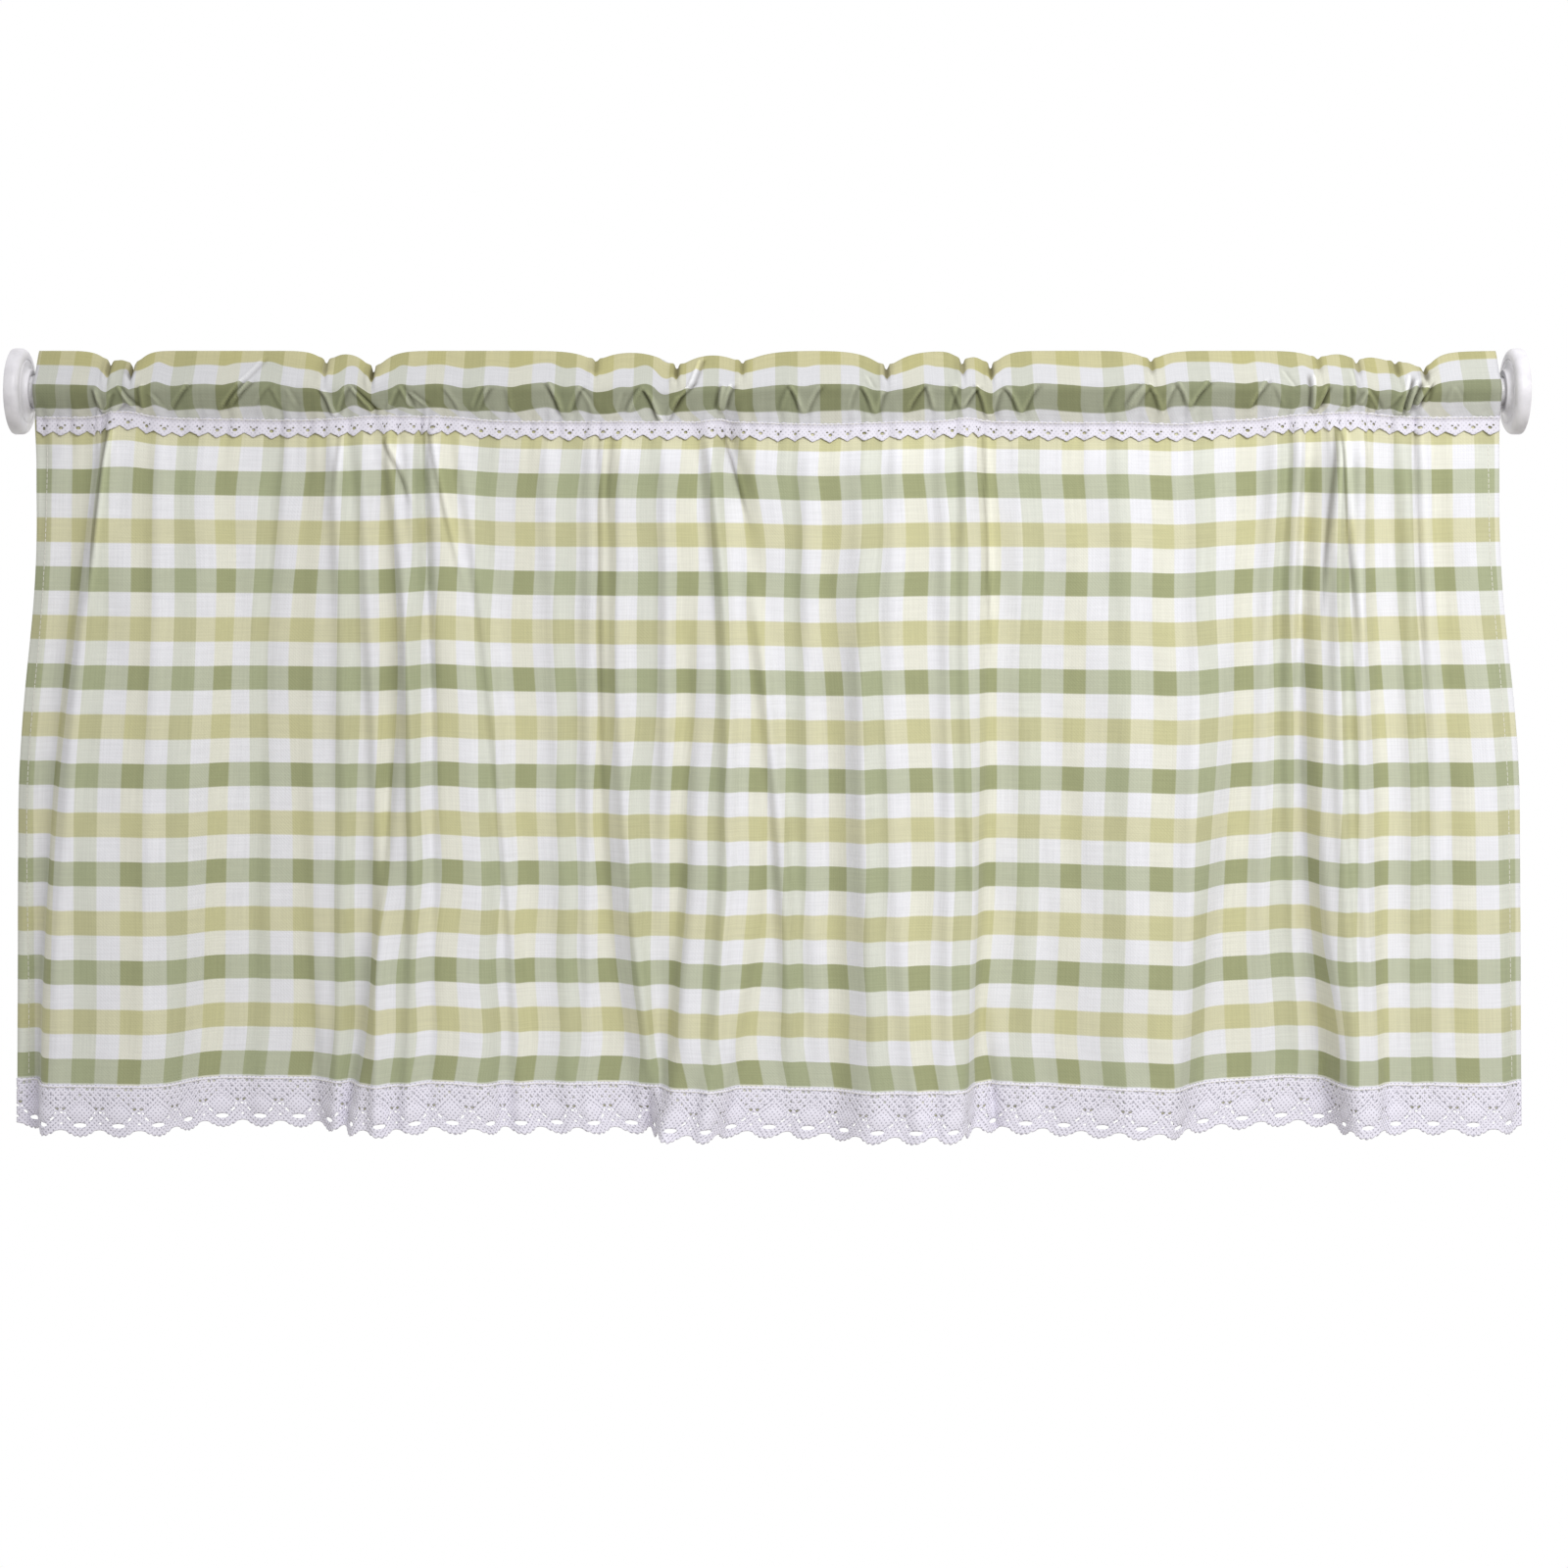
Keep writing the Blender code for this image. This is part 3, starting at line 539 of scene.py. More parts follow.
# distances up the sleeve: where the creases end, where a dip's own creases fade in and out, and
# strength, half width, start and full height of the two painted shades in a dip
CREASES_END = 50.0
DIP_STARTS, DIP_ENDS = (20.0, 38.0), (66.0, 56.0)
DIP_SHADES = ((0.5, 2.6, 36.0, 44.0), (0.3, 6.0, 38.0, 43.0))
HEIGHT_LIMITS, PAINTED_SHADE_LIMITS = (-2.2, 4.0), (-0.6, 1.25)


def sleeve_creases(x, z, up):
    """Height of the creases in the row that stands at z, up the sleeve from the seam, and the
    shade painted there: 1 for a dark painted crease, -1 for a painted highlight on a ridge."""
    height, painted_shade = 0 * x, 0 * x
    for x_foot, z_foot, x_top, z_top, size in SLEEVE_CREASES:
        t = (z - z_foot) / (z_top - z_foot)
        if up < CREASES_END and FADE_IN[0] < t < FADE_OUT[0]:
            line = x_foot + (x_top - x_foot) * t
            fade = abs(size) * float(swell(t, *FADE_IN) * swell(t, *FADE_OUT))
            hollow = line + math.copysign(HOLLOW_BESIDE, size)
            height = height + fade * (section(x, line, RIDGE_SECTION)
                                      + section(x, hollow, HOLLOW_SECTION))
            painted_shade = painted_shade + fade * (section(x, hollow, HOLLOW_PAINTED_SHADE)
                                    + section(x, line, RIDGE_PAINTED_HIGHLIGHT))
    for dip_x, _, share in DIPS:
        fade = share * float(swell(up, *DIP_STARTS) * swell(up, *DIP_ENDS))
        height = height + fade * section(x, dip_x, DIP_SECTION)
        for shade, half, start, full in DIP_SHADES:
            painted_shade = painted_shade + fade * shade * bell(x, dip_x, half) * float(swell(up, start, full))
    return np.clip(height, *HEIGHT_LIMITS), np.clip(painted_shade, *PAINTED_SHADE_LIMITS)


# %% Columns that crowd together near the creases
CROWD, CROWD_REACH = 1.6, 8.0


def crowded_columns(count):
    """Shares of the cloth's width, up to 2.6 times as close together near a crease."""
    even = np.linspace(0, 1, 4000)
    x = cloth_row(SEAM_HEIGHT, even)[:, 0]
    crowd = sum(bell(x, (fold[0] + fold[2]) / 2, CROWD_REACH) for fold in SLEEVE_CREASES)
    total = np.cumsum(1 + CROWD * np.clip(crowd, 0, 1))
    return np.interp(np.linspace(0, 1, count), (total - total[0]) / (total[-1] - total[0]), even)


pocket_columns = crowded_columns(860)
column_gaps = np.diff(pocket_columns) * FLAT_WIDTH
print(f"columns {column_gaps.min():.2f} to {column_gaps.max():.2f} mm apart")


# %% Lead the cloth round the rod
def smooth_path(knots, places, where):
    """Catmull-Rom curve through knots (k, columns, 2) at places (k,), read at where (n,)."""
    rows = []
    for s in where:
        k = int(np.clip(np.searchsorted(places, s, side="right") - 1, 0, len(places) - 2))
        t = (s - places[k]) / (places[k + 1] - places[k])
        a, b = knots[k], knots[k + 1]
        before, after = knots[max(k - 1, 0)], knots[min(k + 2, len(knots) - 1)]
        out, back = (b - before) / 2, (after - a) / 2
        rows.append(a * (2 * t**3 - 3 * t**2 + 1) + out * (t**3 - 2 * t**2 + t)
                    + b * (3 * t**2 - 2 * t**3) + back * (t**3 - t**2))
    return np.array(rows)


# how far the front layer runs on past the seam, and how far in front of the panel it lies there
TUCKED, TUCK_AHEAD = 6.0, 0.95
BACK_DROP = 0.5              # the back layer ends this far below the seam
STRAIGHT = 8.0               # its columns lean over this distance from the edge, and no further
FRONT_END = 60.0             # fine rows as far up the path as this, and coarse ones behind
seam = cloth_row(SEAM_HEIGHT, pocket_columns)
seam_x = seam[:, 0]
lost = sum(share * (DIP_CORE * np.exp(-np.abs((seam_x - x) / half) ** CORE_POWER)
                    + DIP_SKIRT * bell(seam_x, x, SKIRT_SPREAD * half))
           for x, half, share in DIPS)
rest = np.clip(REST_SHARE * lost, 0, REST_MOST)[:, None]
ring = np.array(POCKET_SECTION)
tucked_at = SEAM_HEIGHT - TUCKED
foot = cloth_row(tucked_at, pocket_columns) + facing(tucked_at, pocket_columns) * TUCK_AHEAD
knots = np.array([
    foot[:, 1:], *(place[:2] * (1 - rest) + place[2:] * rest for place in ring),
    seam[:, 1:] + (CLOTH_THICKNESS, -BACK_DROP)])
open_path = np.vstack([[SEAM_DEPTH - TUCK_AHEAD, tucked_at], ring[:, :2],
                       [SEAM_DEPTH, SEAM_HEIGHT]])
places = np.concatenate([[0], np.cumsum(np.linalg.norm(np.diff(open_path, axis=0), axis=1))])
POCKET_LENGTH = float(places[-1])
up_rows = np.concatenate([np.linspace(0, FRONT_END, 40)[:-1],
                          np.linspace(FRONT_END, POCKET_LENGTH, 17)])
path = smooth_path(knots, places, up_rows)
row_x = foot[:, 0] + (seam_x - foot[:, 0]) * ease(up_rows / STRAIGHT)[:, None]
pocket_points = np.concatenate([row_x[..., None], path], axis=2)
outward = np.cross(np.gradient(pocket_points, axis=1), np.gradient(pocket_points, axis=0))
outward /= np.linalg.norm(outward, axis=2, keepdims=True)
print(f"pocket: {POCKET_LENGTH:.0f} mm of cloth round the rod")

# %% Crease the sleeve
SEAM_UP = 4.8                # the distances up the sleeve are counted from here on its path
GATHERS_AT = SEAM_HEIGHT - 8.0   # the sleeve has the panel's gathers of this height
GATHERS_END = 14.0           # which fade out over this distance
gather = small_relief(pocket_columns * FLAT_WIDTH, GATHERS_AT)
open_z = np.interp(up_rows, places, open_path[:, 1])
# the sleeve's creases, with the shade and highlight painted along them
crease, pocket_painted_shade = (np.array(grid) for grid in zip(*[
    sleeve_creases(seam_x, z, up) for z, up in zip(open_z, up_rows - SEAM_UP)]))
crease += gather * (np.exp(-up_rows / GATHERS_END) * np.minimum(1, up_rows / TUCKED))[:, None]
crease *= swell(up_rows, 1, TUCKED)[:, None]     # the tucked edge itself lies flat
pocket_points += outward * crease[..., None]
print(f"creases from {crease.min():.1f} to {crease.max():.1f} mm high")

# %% Lead the stripes over the sleeve
# they creep sideways and droop between the tucked edge and the first crease
SEAM_TAKE_UP = 1.84          # cloth hidden in the stitched seam
SETTLED = 13.0               # distance up the sleeve where they have reached their places
BEYOND_ENDS = (-10.0, 1185.0)    # x of the stripes that would come next at the two ends
BLUR = 13                    # columns
rise = ease(up_rows / SETTLED)[:, None]
stripe_u = GREEN_START[0] + CHECK_PITCH[0] * (1 / 8 + np.arange(-1, len(ROUND_STRIPES) + 1) / 2)
stripe_x = [BEYOND_ENDS[0], *ROUND_STRIPES, BEYOND_ENDS[1]]
crept = np.interp(seam_x, stripe_x, stripe_u) - pocket_columns * FLAT_WIDTH
droop = np.interp(seam_x, *zip(*DROOPS)) + DROOP_ALL
blur = np.hanning(BLUR) / np.hanning(BLUR).sum()
crept, droop = (np.convolve(np.pad(values, BLUR // 2, mode="edge"), blur, mode="valid")
                for values in (crept, droop))
across = pocket_columns * FLAT_WIDTH + crept * rise
down = -(up_rows[:, None] + SEAM_TAKE_UP + droop * rise)
pocket_flat = np.stack([across, down], axis=2)
faces = [face[::-1] for face in grid_faces(len(up_rows), len(pocket_columns))]
pocket = sheet_piece("rod_pocket", pocket_points.reshape(-1, 3), pocket_flat.reshape(-1, 2),
                     faces, CLOTH_THICKNESS, painted_shade=pocket_painted_shade.ravel())
print(f"pocket: {len(pocket.data.polygons)} faces, {len(stripe_x)} stripes round it")

# %% [markdown]
# ## Yarn-dyed check
# Where two colours cross, each square shows both, and the weft, which lies a little prouder,
# wins. That gives nine colours in all. The material picks the colour of the row for each kind
# of column and then chooses between them, all in the cloth's flat coordinates. The edges are a
# little under a millimetre soft, as the last yarns mingle.

# %% Material helpers
def hex_to_linear(code):
    """An sRGB hex colour as linear RGBA."""
    parts = [int(code[i:i + 2], 16) / 255 for i in (1, 3, 5)]
    linear = [p / 12.92 if p <= 0.04045 else ((p + 0.055) / 1.055) ** 2.4 for p in parts]
    return (*linear, 1.0)


def new_material(name, **surface):
    """A material whose shader has these sockets set, with its node tree and its shader."""
    material = bpy.data.materials.new(name)
    material.use_nodes = True
    shader = material.node_tree.nodes["Principled BSDF"]
    for socket, value in surface.items():
        shader.inputs[socket.replace("_", " ")].default_value = value
    return material, material.node_tree, shader


def add_node(tree, kind, inputs=(), stops=(), **settings):
    """Adds a node with its settings and links. inputs are pairs of a socket and the output that
    feeds it, or its value. stops are pairs of a place and a colour on a colour ramp."""
    node = tree.nodes.new(kind)
    for key, value in settings.items():
        if hasattr(node, key):
            setattr(node, key, value)
        else:
            node.inputs[key.replace("_", " ")].default_value = value
    for socket, source in inputs:
        if isinstance(source, bpy.types.NodeSocket):
            tree.links.new(source, node.inputs[socket])
        else:
            node.inputs[socket].default_value = source
    for _ in stops[2:]:
        node.color_ramp.elements.new(1.0)
    for n, (place, colour) in enumerate(stops):
        node.color_ramp.elements[n].position = place
        node.color_ramp.elements[n].color = colour
    return node


print("white in linear colour:", hex_to_linear("#FFFFFF")[:3])

# %% The check's colours
SOFT_EDGE = 0.006            # share of a repeat
THREAD = 1.3                 # thread spacing as drawn, in millimetres
FULL_TURNS = 10              # keeps the count of repeats above zero over all the cloth
#               green weft, white weft, yellow weft
CROSSINGS = {
    "green": ("#AAB08E", "#DDDFD5", "#C3C198"),
    "white": ("#C2C6B0", "#ECECF1", "#D9D6B6"),
    "yellow": ("#A4A880", "#E9E8DB", "#CCC99C"),
}
BLACK, WHITE = (0, 0, 0, 1), (1, 1, 1, 1)
# painted shade and highlight, by the attribute's value: a ridge painted lighter, plain cloth, a
# crease painted dark and warm
PAINTED_SHADE_RANGE = (-0.5, 1.25)
PAINTED_SHADE_STOPS = ((0.0, (1.32, 1.32, 1.30, 1)), (0.2857, WHITE), (1.0, (0.16, 0.14, 0.09, 1)))


def stripe_stops(colours):
    """Ramp stops for four equal stripes, whose neighbours meet in a soft edge."""
    return [(place, colour) for n, colour in enumerate(colours)
            for place in (n / 4 + SOFT_EDGE, (n + 1) / 4 - SOFT_EDGE)]


def crossed_stripes(tree, repeats, painted_shade_factors):
    """Colour of the check, from how far along its repeat of warp and weft a point lies."""
    by_column = {}
    for column, codes in CROSSINGS.items():
        green, white, yellow = (tuple(np.multiply(hex_to_linear(code)[:3], share)) + (1,)
                                for code, share in zip(codes, painted_shade_factors))
        by_column[column] = add_node(tree, "ShaderNodeValToRGB", [(0, repeats[1])],
                                     stops=stripe_stops((green, white, yellow, white)))
    colour = by_column["white"].outputs[0]
    for column, stripe in (("green", 0), ("yellow", 2)):
        chosen = [WHITE if n == stripe else BLACK for n in range(4)]
        mask = add_node(tree, "ShaderNodeValToRGB", [(0, repeats[0])],
                        stops=stripe_stops(chosen))
        colour = add_node(tree, "ShaderNodeMix", [
            ("Factor", mask.outputs[0]), (6, colour), (7, by_column[column].outputs[0])],
            data_type="RGBA").outputs[2]
    return colour


def woven_check(name, painted_shade_factors=((1, 1, 1), (1, 1, 1), (1, 1, 1))):
    """Plain-weave cotton, yarn-dyed: a dry, slightly fuzzy surface with no shine. A copy in
    painted shade has its green, white and yellow rows deeper by a share of red, green and blue
    each, standing in for the light from behind that doubled cloth keeps out."""
    material, tree, shader = new_material(name, Roughness=0.9, Sheen_Weight=0.12,
                                          Sheen_Roughness=0.5, Specular_IOR_Level=0.2)
    flat = add_node(tree, "ShaderNodeUVMap", uv_map="flat")
    split = add_node(tree, "ShaderNodeSeparateXYZ", [(0, flat.outputs[0])])
    repeats = []
    for axis in (0, 1):
        turns = add_node(tree, "ShaderNodeMath", [
            (0, split.outputs[axis]), (1, 1 / (CHECK_PITCH[axis] * MM)),
            (2, FULL_TURNS - GREEN_START[axis] / CHECK_PITCH[axis])], operation="MULTIPLY_ADD")
        repeats.append(add_node(tree, "ShaderNodeMath", [(0, turns.outputs[0])],
                                operation="FRACT").outputs[0])
    colour = crossed_stripes(tree, repeats, painted_shade_factors)

    # thick and thin places in the yarns run as faint streaks along weft and warp; then painted
    # shade
    #     darkens the creases and a painted highlight lightens their ridges, read from the attribute
    tones = []
    for stretch in ((28, 900, 1), (900, 22, 1)):
        place = add_node(tree, "ShaderNodeMapping", [(0, flat.outputs[0])], Scale=stretch)
        slub = add_node(tree, "ShaderNodeTexNoise", [(0, place.outputs[0])], Scale=1.0,
                        Detail=2.0)
        tones.append(add_node(tree, "ShaderNodeMapRange", [(0, slub.outputs[0])], From_Min=0.3,
                              From_Max=0.7, To_Min=0.955, To_Max=1.03))
    painted_shade_read = add_node(tree, "ShaderNodeAttribute", attribute_name="painted_shade")
    painted_shade_share = add_node(tree, "ShaderNodeMapRange", [(0, painted_shade_read.outputs["Fac"])],
                      From_Min=PAINTED_SHADE_RANGE[0], From_Max=PAINTED_SHADE_RANGE[1], To_Min=0.0, To_Max=1.0)
    tones.append(add_node(tree, "ShaderNodeValToRGB", [(0, painted_shade_share.outputs[0])],
                          stops=PAINTED_SHADE_STOPS))
    for tone in tones:
        colour = add_node(tree, "ShaderNodeMix", [
            ("Factor", 1.0), (6, colour), (7, tone.outputs[0])], data_type="RGBA",
            blend_type="MULTIPLY").outputs[2]
    tree.links.new(colour, shader.inputs["Base Color"])

    # over and under: real threads lie 0.4 mm apart and are drawn coarser so that they show
    waves = []
    for axis in (0, 1):
        angle = add_node(tree, "ShaderNodeMath", [
            (0, split.outputs[axis]), (1, math.pi / (THREAD * MM))], operation="MULTIPLY")
        waves.append(add_node(tree, "ShaderNodeMath", [(0, angle.outputs[0])],
                              operation="SINE").outputs[0])
    over = add_node(tree, "ShaderNodeMath", enumerate(waves), operation="MULTIPLY")
    bump = add_node(tree, "ShaderNodeBump", [("Height", over.outputs[0])], Strength=0.25,
                    Distance=0.0002)
    tree.links.new(bump.outputs[0], shader.inputs["Normal"])
    return material


check_cotton = woven_check("check_cotton")
panel.data.materials.append(check_cotton)
# painted shade: the pocket's doubled cloth is drawn with a darker copy of the check
pocket.data.materials.append(woven_check("check_cotton_in_painted_shade", (
    (0.62, 0.62, 0.60), (0.78, 0.78, 0.77), (0.79, 0.77, 0.66))))
print("check:", len(check_cotton.node_tree.nodes), "nodes")

# %% [markdown]
# ## Lace with real holes
# Both laces are cotton crochet: a braided head, a net of small holes, and a scalloped foot with
# little loops along it. All but the tiniest holes are real, cut through the mesh, because the
# wall shows through the foot and the check shows through the net. One scallop is drawn as a
# short table of oval holes. The strip is a fine grid in flat coordinates; cells whose middle
# falls in a hole are left out, and the corners round it are drawn on to the oval, so that even
# a hole four cells wide comes out round. Last, the flat strip is laid on the cloth and follows
# every fold.

# %% Lay flat points on the cloth
def cloth_sampler(top, reach, rows):
    """A function that lays flat points (across, below the top) in millimetres on the cloth,
    a given distance in front of its middle. The cloth is read at rows down to the reach."""
    fine = np.linspace(0, 1, 1500)
    points = np.array([cloth_row(z, fine) for z in np.linspace(top, top - reach, rows)])
    normals = square_to(np.gradient(points, axis=1), np.gradient(points, axis=0))

    def lay(across, below, ahead):
        c = np.clip(across / FLAT_WIDTH, 0, 1) * (len(fine) - 1)
        r = np.clip(below / reach, 0, 1) * (rows - 1)
        c0, r0 = np.minimum(c.astype(int), len(fine) - 2), np.minimum(r.astype(int), rows - 2)
        tc, tr = (c - c0)[:, None], (r - r0)[:, None]

        def blend(grid):
            return ((grid[r0, c0] * (1 - tc) + grid[r0, c0 + 1] * tc) * (1 - tr)
                    + (grid[r0 + 1, c0] * (1 - tc) + grid[r0 + 1, c0 + 1] * tc) * tr)

        return blend(points) + blend(normals) * np.asarray(ahead)[:, None]

    return lay


# %% Cut a lace strip
LACE_THICKNESS, LACE_GAP = 0.8, 0.15     # the gap is between the lace and the cloth
LACE_AHEAD = CLOTH_THICKNESS / 2 + LACE_THICKNESS / 2 + LACE_GAP
SNAP = 0.62                  # corners this near a hole's rim, in cells, are drawn on to it
CORE = 0.2                   # but none from this far inside, as a share of the hole


def in_hole(places, hole, pitch):
    """Places relative to a hole's middle and turned with it, and how many times as far out as
    its rim each of them is. Also the hole's turn, as a matrix."""
    x, down, half_width, half_height, tilt = hole
    cosine, sine = math.cos(math.radians(tilt)), math.sin(math.radians(tilt))
    turn = np.array([[cosine, sine], [-sine, cosine]])
    dx = (places[..., 0] - x) % pitch - pitch / 2
    away = np.stack([dx, places[..., 1] - down], axis=-1) @ turn.T
    return away, np.linalg.norm(away / (half_width, half_height), axis=-1), turn


def cut_holes(spots, holes, pitch, cell):
    """Which cells of the grid are left, and its corners, moved on to the rims of the holes."""
    keep = np.ones((len(spots) - 1, spots.shape[1] - 1), dtype=bool)
    middle = (spots[:-1, :-1] + spots[1:, :-1] + spots[:-1, 1:] + spots[1:, 1:]) / 4
    moved = spots.copy()
    for hole in holes:
        keep &= in_hole(middle, hole, pitch)[1] > 1.0
        away, reach, turn = in_hole(spots, hole, pitch)
        near = (np.abs(reach - 1) * min(hole[2:4]) < SNAP * cell) & (reach > CORE)
        pull = (away / np.maximum(reach, CORE)[..., None] - away) @ turn
        moved[near] = spots[near] + pull[near]
    moved[:, 0, 0], moved[:, -1, 0] = 0.0, FLAT_WIDTH
    return keep, moved


def lace_strip(name, repeats, grid, holes, foot_edge, relief, lay):
    """A strip of lace. grid: cells to a scallop, depth and number of the evenly spaced rows,
    and how many more fill down to the foot's edge. holes: x from the scallop's middle, distance
    below the head, half width, half height and tilt in degrees. foot_edge and relief are
    functions of x and that distance."""
    cells, even_depth, even_rows, foot_rows = grid
    pitch = FLAT_WIDTH / repeats
    across = np.linspace(0, FLAT_WIDTH, repeats * cells + 1)
    edge = foot_edge((across % pitch) - pitch / 2, pitch)
    even = np.repeat(np.linspace(0, even_depth, even_rows)[:, None], len(across), axis=1)
    steps = np.linspace(0, 1, foot_rows + 1)[1:, None]
    below = np.concatenate([even, even[-1:] + (edge - even[-1:]) * steps])
    spots = np.stack([np.tile(across, (len(below), 1)), below], axis=2)
    keep, moved = cut_holes(spots, holes, pitch, pitch / cells)

    faces = [face for face, kept in zip(grid_faces(*below.shape), keep.ravel()) if kept]
    used = np.unique(faces)
    renumber = np.full(below.size, -1)
    renumber[used] = np.arange(len(used))
    faces = renumber[np.array(faces)]
    flat = moved.reshape(-1, 2)[used]
    raised = relief((flat[:, 0] % pitch) - pitch / 2, flat[:, 1], pitch)
    strip = sheet_piece(name, lay(flat[:, 0], flat[:, 1], raised), flat, faces.tolist(),
                        LACE_THICKNESS)
    corners = flat[faces]
    a, b = corners[:, 2] - corners[:, 0], corners[:, 3] - corners[:, 1]
    area = float(np.abs(a[:, 0] * b[:, 1] - a[:, 1] * b[:, 0]).sum() / 2)
    print(f"{name}: {len(strip.data.polygons)} faces, {area / 100:.0f} square cm of lace")
    return strip, area


print(f"the middle of the lace lies {LACE_AHEAD:.2f} mm in front of the cloth's")

# %% [markdown]
# ## The hem lace
# The wide lace has one scallop to every 29 mm. Each scallop holds a solid petal, an oval
# eyelet under it and a fan of small holes between it and its neighbours. Crochet thickens
# where stitches pile up, so the petals, the rims, the foot and the head stand a little proud.

# %% The hem lace's holes and edge
WIDE_TOP, WIDE_REACH = -534.0, 44.0
WIDE_REPEATS, WIDE_GRID = 46, (28, 25.2, 24, 13)
WIDE_FOOT, WIDE_SWING, WIDE_LOOP = 34.4, 4.2, 1.4    # distance below the head, and added depths
LOOPS = 7                    # to a scallop
PETAL_DOWN, EYELET_DOWN = 22.0, 30.9
#   x from the scallop's middle, distance below the head, half width, half height, tilt
WIDE_HOLES = (
    [(0, EYELET_DOWN, 5.3, 1.8, 0)]
    + [(x, 3.3, 1.35, 1.1, 0) for x in (-9.8, -5.6, 5.6, 9.8)]
    + [(x, 7.7, 0.8, 0.8, 0) for x in (-7.7, 0, 7.7, 15.3)]
    + [(x, 11.0, 0.8, 0.8, 0) for x in (-11.5, -3.8, 3.8, 11.5)]
    + [(x, 14.3, 0.8, 0.8, 0) for x in (-7.7, 7.7)]
    + [(x, 17.9, 1.35, 1.15, 0) for x in (-12.3, 12.3)]
    + [(15.3, 21.0, 1.15, 1.0, 0)]
    + [(side * 11.0, 21.4, 1.2, 0.8, -side * 42) for side in (-1, 1)]
    + [(side * 8.4, 26.0, 2.4, 0.8, -side * 42) for side in (-1, 1)]
    + [(15.3, 29.4, 1.1, 1.0, 0)]
)


def wide_edge(x, pitch):
    """The scalloped foot with its loops, as a distance below the head."""
    swing = 0.5 + 0.5 * np.cos(2 * math.pi * x / pitch)
    loops = np.abs(np.cos(LOOPS * math.pi * x / pitch)) * swell(swing, 0.1, 0.5)
    return WIDE_FOOT + WIDE_SWING * swing + WIDE_LOOP * loops


def wide_relief(x, below, pitch):
    """How far the strip's middle stands in front of the cloth's."""
    petal = 0.55 * np.exp(-(((x / 7.0) ** 2 + ((below - PETAL_DOWN) / 4.6) ** 2) ** 2))
    rim = 0.35 * bell(np.hypot(x / 5.8, (below - EYELET_DOWN) / 2.0), 1.45, 0.22)
    foot = 0.30 * bell(wide_edge(x, pitch) - below, 1.2, 0.9)
    head = 0.30 * bell(below, 0.9, 0.8)
    return LACE_AHEAD + petal + rim + foot + head


wide_lay = cloth_sampler(WIDE_TOP, WIDE_REACH, 24)
hem_lace, hem_lace_area = lace_strip("hem_lace_strip", WIDE_REPEATS, WIDE_GRID, WIDE_HOLES,
                                     wide_edge, wide_relief, wide_lay)

# %% [markdown]
# ## The heading lace
# The narrow lace lies just under the pocket's seam, and its head covers the edge of the
# sleeve's front layer. It is dense, with a V of three holes over every scallop. It is sewn down
# by its head alone, so its foot waves a little and stands off the cloth.

# %% The heading lace's holes and edge
NARROW_TOP, NARROW_REACH = SEAM_HEIGHT - 4.6, 23.0
NARROW_REPEATS, NARROW_GRID = 92, (16, 10.8, 14, 4)
NARROW_FOOT, NARROW_SWING, NARROW_LOOP = 11.4, 3.1, 0.5
HOLE_DOWN = 9.2
NARROW_HOLES = (
    [(0, HOLE_DOWN, 1.55, 1.25, 0)]
    + [(side * 2.7, 7.2, 0.85, 0.75, 0) for side in (-1, 1)]
)
OVER_SLEEVE = 1.35           # how far the head is lifted by the sleeve's edge under it
FOOT_FREE, FOOT_WAVE = 0.6, 0.3      # how far the foot stands off the cloth, and its waves
EDGE_WAVE, HEAD_LOOPS = 0.45, 0.7    # how uneven the foot and the head are, up and down


def narrow_edge(x, pitch):
    swing = 0.5 + 0.5 * np.cos(2 * math.pi * x / pitch)
    loops = np.abs(np.cos(3 * math.pi * x / pitch))
    return NARROW_FOOT + NARROW_SWING * swing + NARROW_LOOP * loops


def narrow_relief(x, below, pitch):
    """The same for this lace, whose holes have raised rims."""
    foot = 0.3 * bell(narrow_edge(x, pitch) - below, 1.0, 0.8)
    rim = 0.35 * bell(np.hypot(x / 3.2, (below - HOLE_DOWN) / 2.6), 1.0, 0.35)
    return LACE_AHEAD - 0.1 + foot + rim


narrow_lay = cloth_sampler(NARROW_TOP, NARROW_REACH, 16)


def rumpled_lay(across, below, ahead):
    """The head lies over the tucked layer of the sleeve and the foot waves off the cloth."""
    over = OVER_SLEEVE * (1 - swell(below, 0.8, 4.0))
    free = ease(below / 11)
    wave = (np.sin(across / 4.4 + 2.2 * np.sin(across / 37))
            + np.sin(across / 2.6 + 1.5 * np.sin(across / 53)))
    shift = (EDGE_WAVE * free * np.sin(across / 8.3 + np.sin(across / 29))
             + HEAD_LOOPS * (1 - ease(below / 2.2)) * np.abs(np.sin(across / 1.6)))
    off = free * (FOOT_FREE + FOOT_WAVE * wave)
    return narrow_lay(across, below + shift, ahead + over + off)


heading_lace, heading_lace_area = lace_strip(
    "heading_lace_strip", NARROW_REPEATS, NARROW_GRID, NARROW_HOLES, narrow_edge,
    narrow_relief, rumpled_lay)

# %% [markdown]
# ## Bleached cotton crochet
# Bleached cotton is a cool white. Its twisted thread shows in short diagonal strokes, with a
# bump and with painted shade greying the gaps between stitches. The threads are drawn 2.6 mm
# apart, about twice as coarse as a real crochet chain, so that they show. The wide lace also
# has lines of tiny gaps, too small to cut, drawn in painted shade: dotted diamonds nested round
# every petal, which cross between the petals as in the real net.

# %% Dotted diamonds round the petals
PETAL_FRAME = (10.4, 9.4)   # half width and half height of the first diamond
FRAME_DOWN = 21.5           # its middle, below the head
FRAME_STEP = 0.45           # the frames are repeated outwards at this share of the first
DOT_PITCH = 3.4
# the gaps' painted shade: how dark they are drawn, and how far they dip in the bump
FRAME_DEPTH = 0.75          # how dark the gaps are


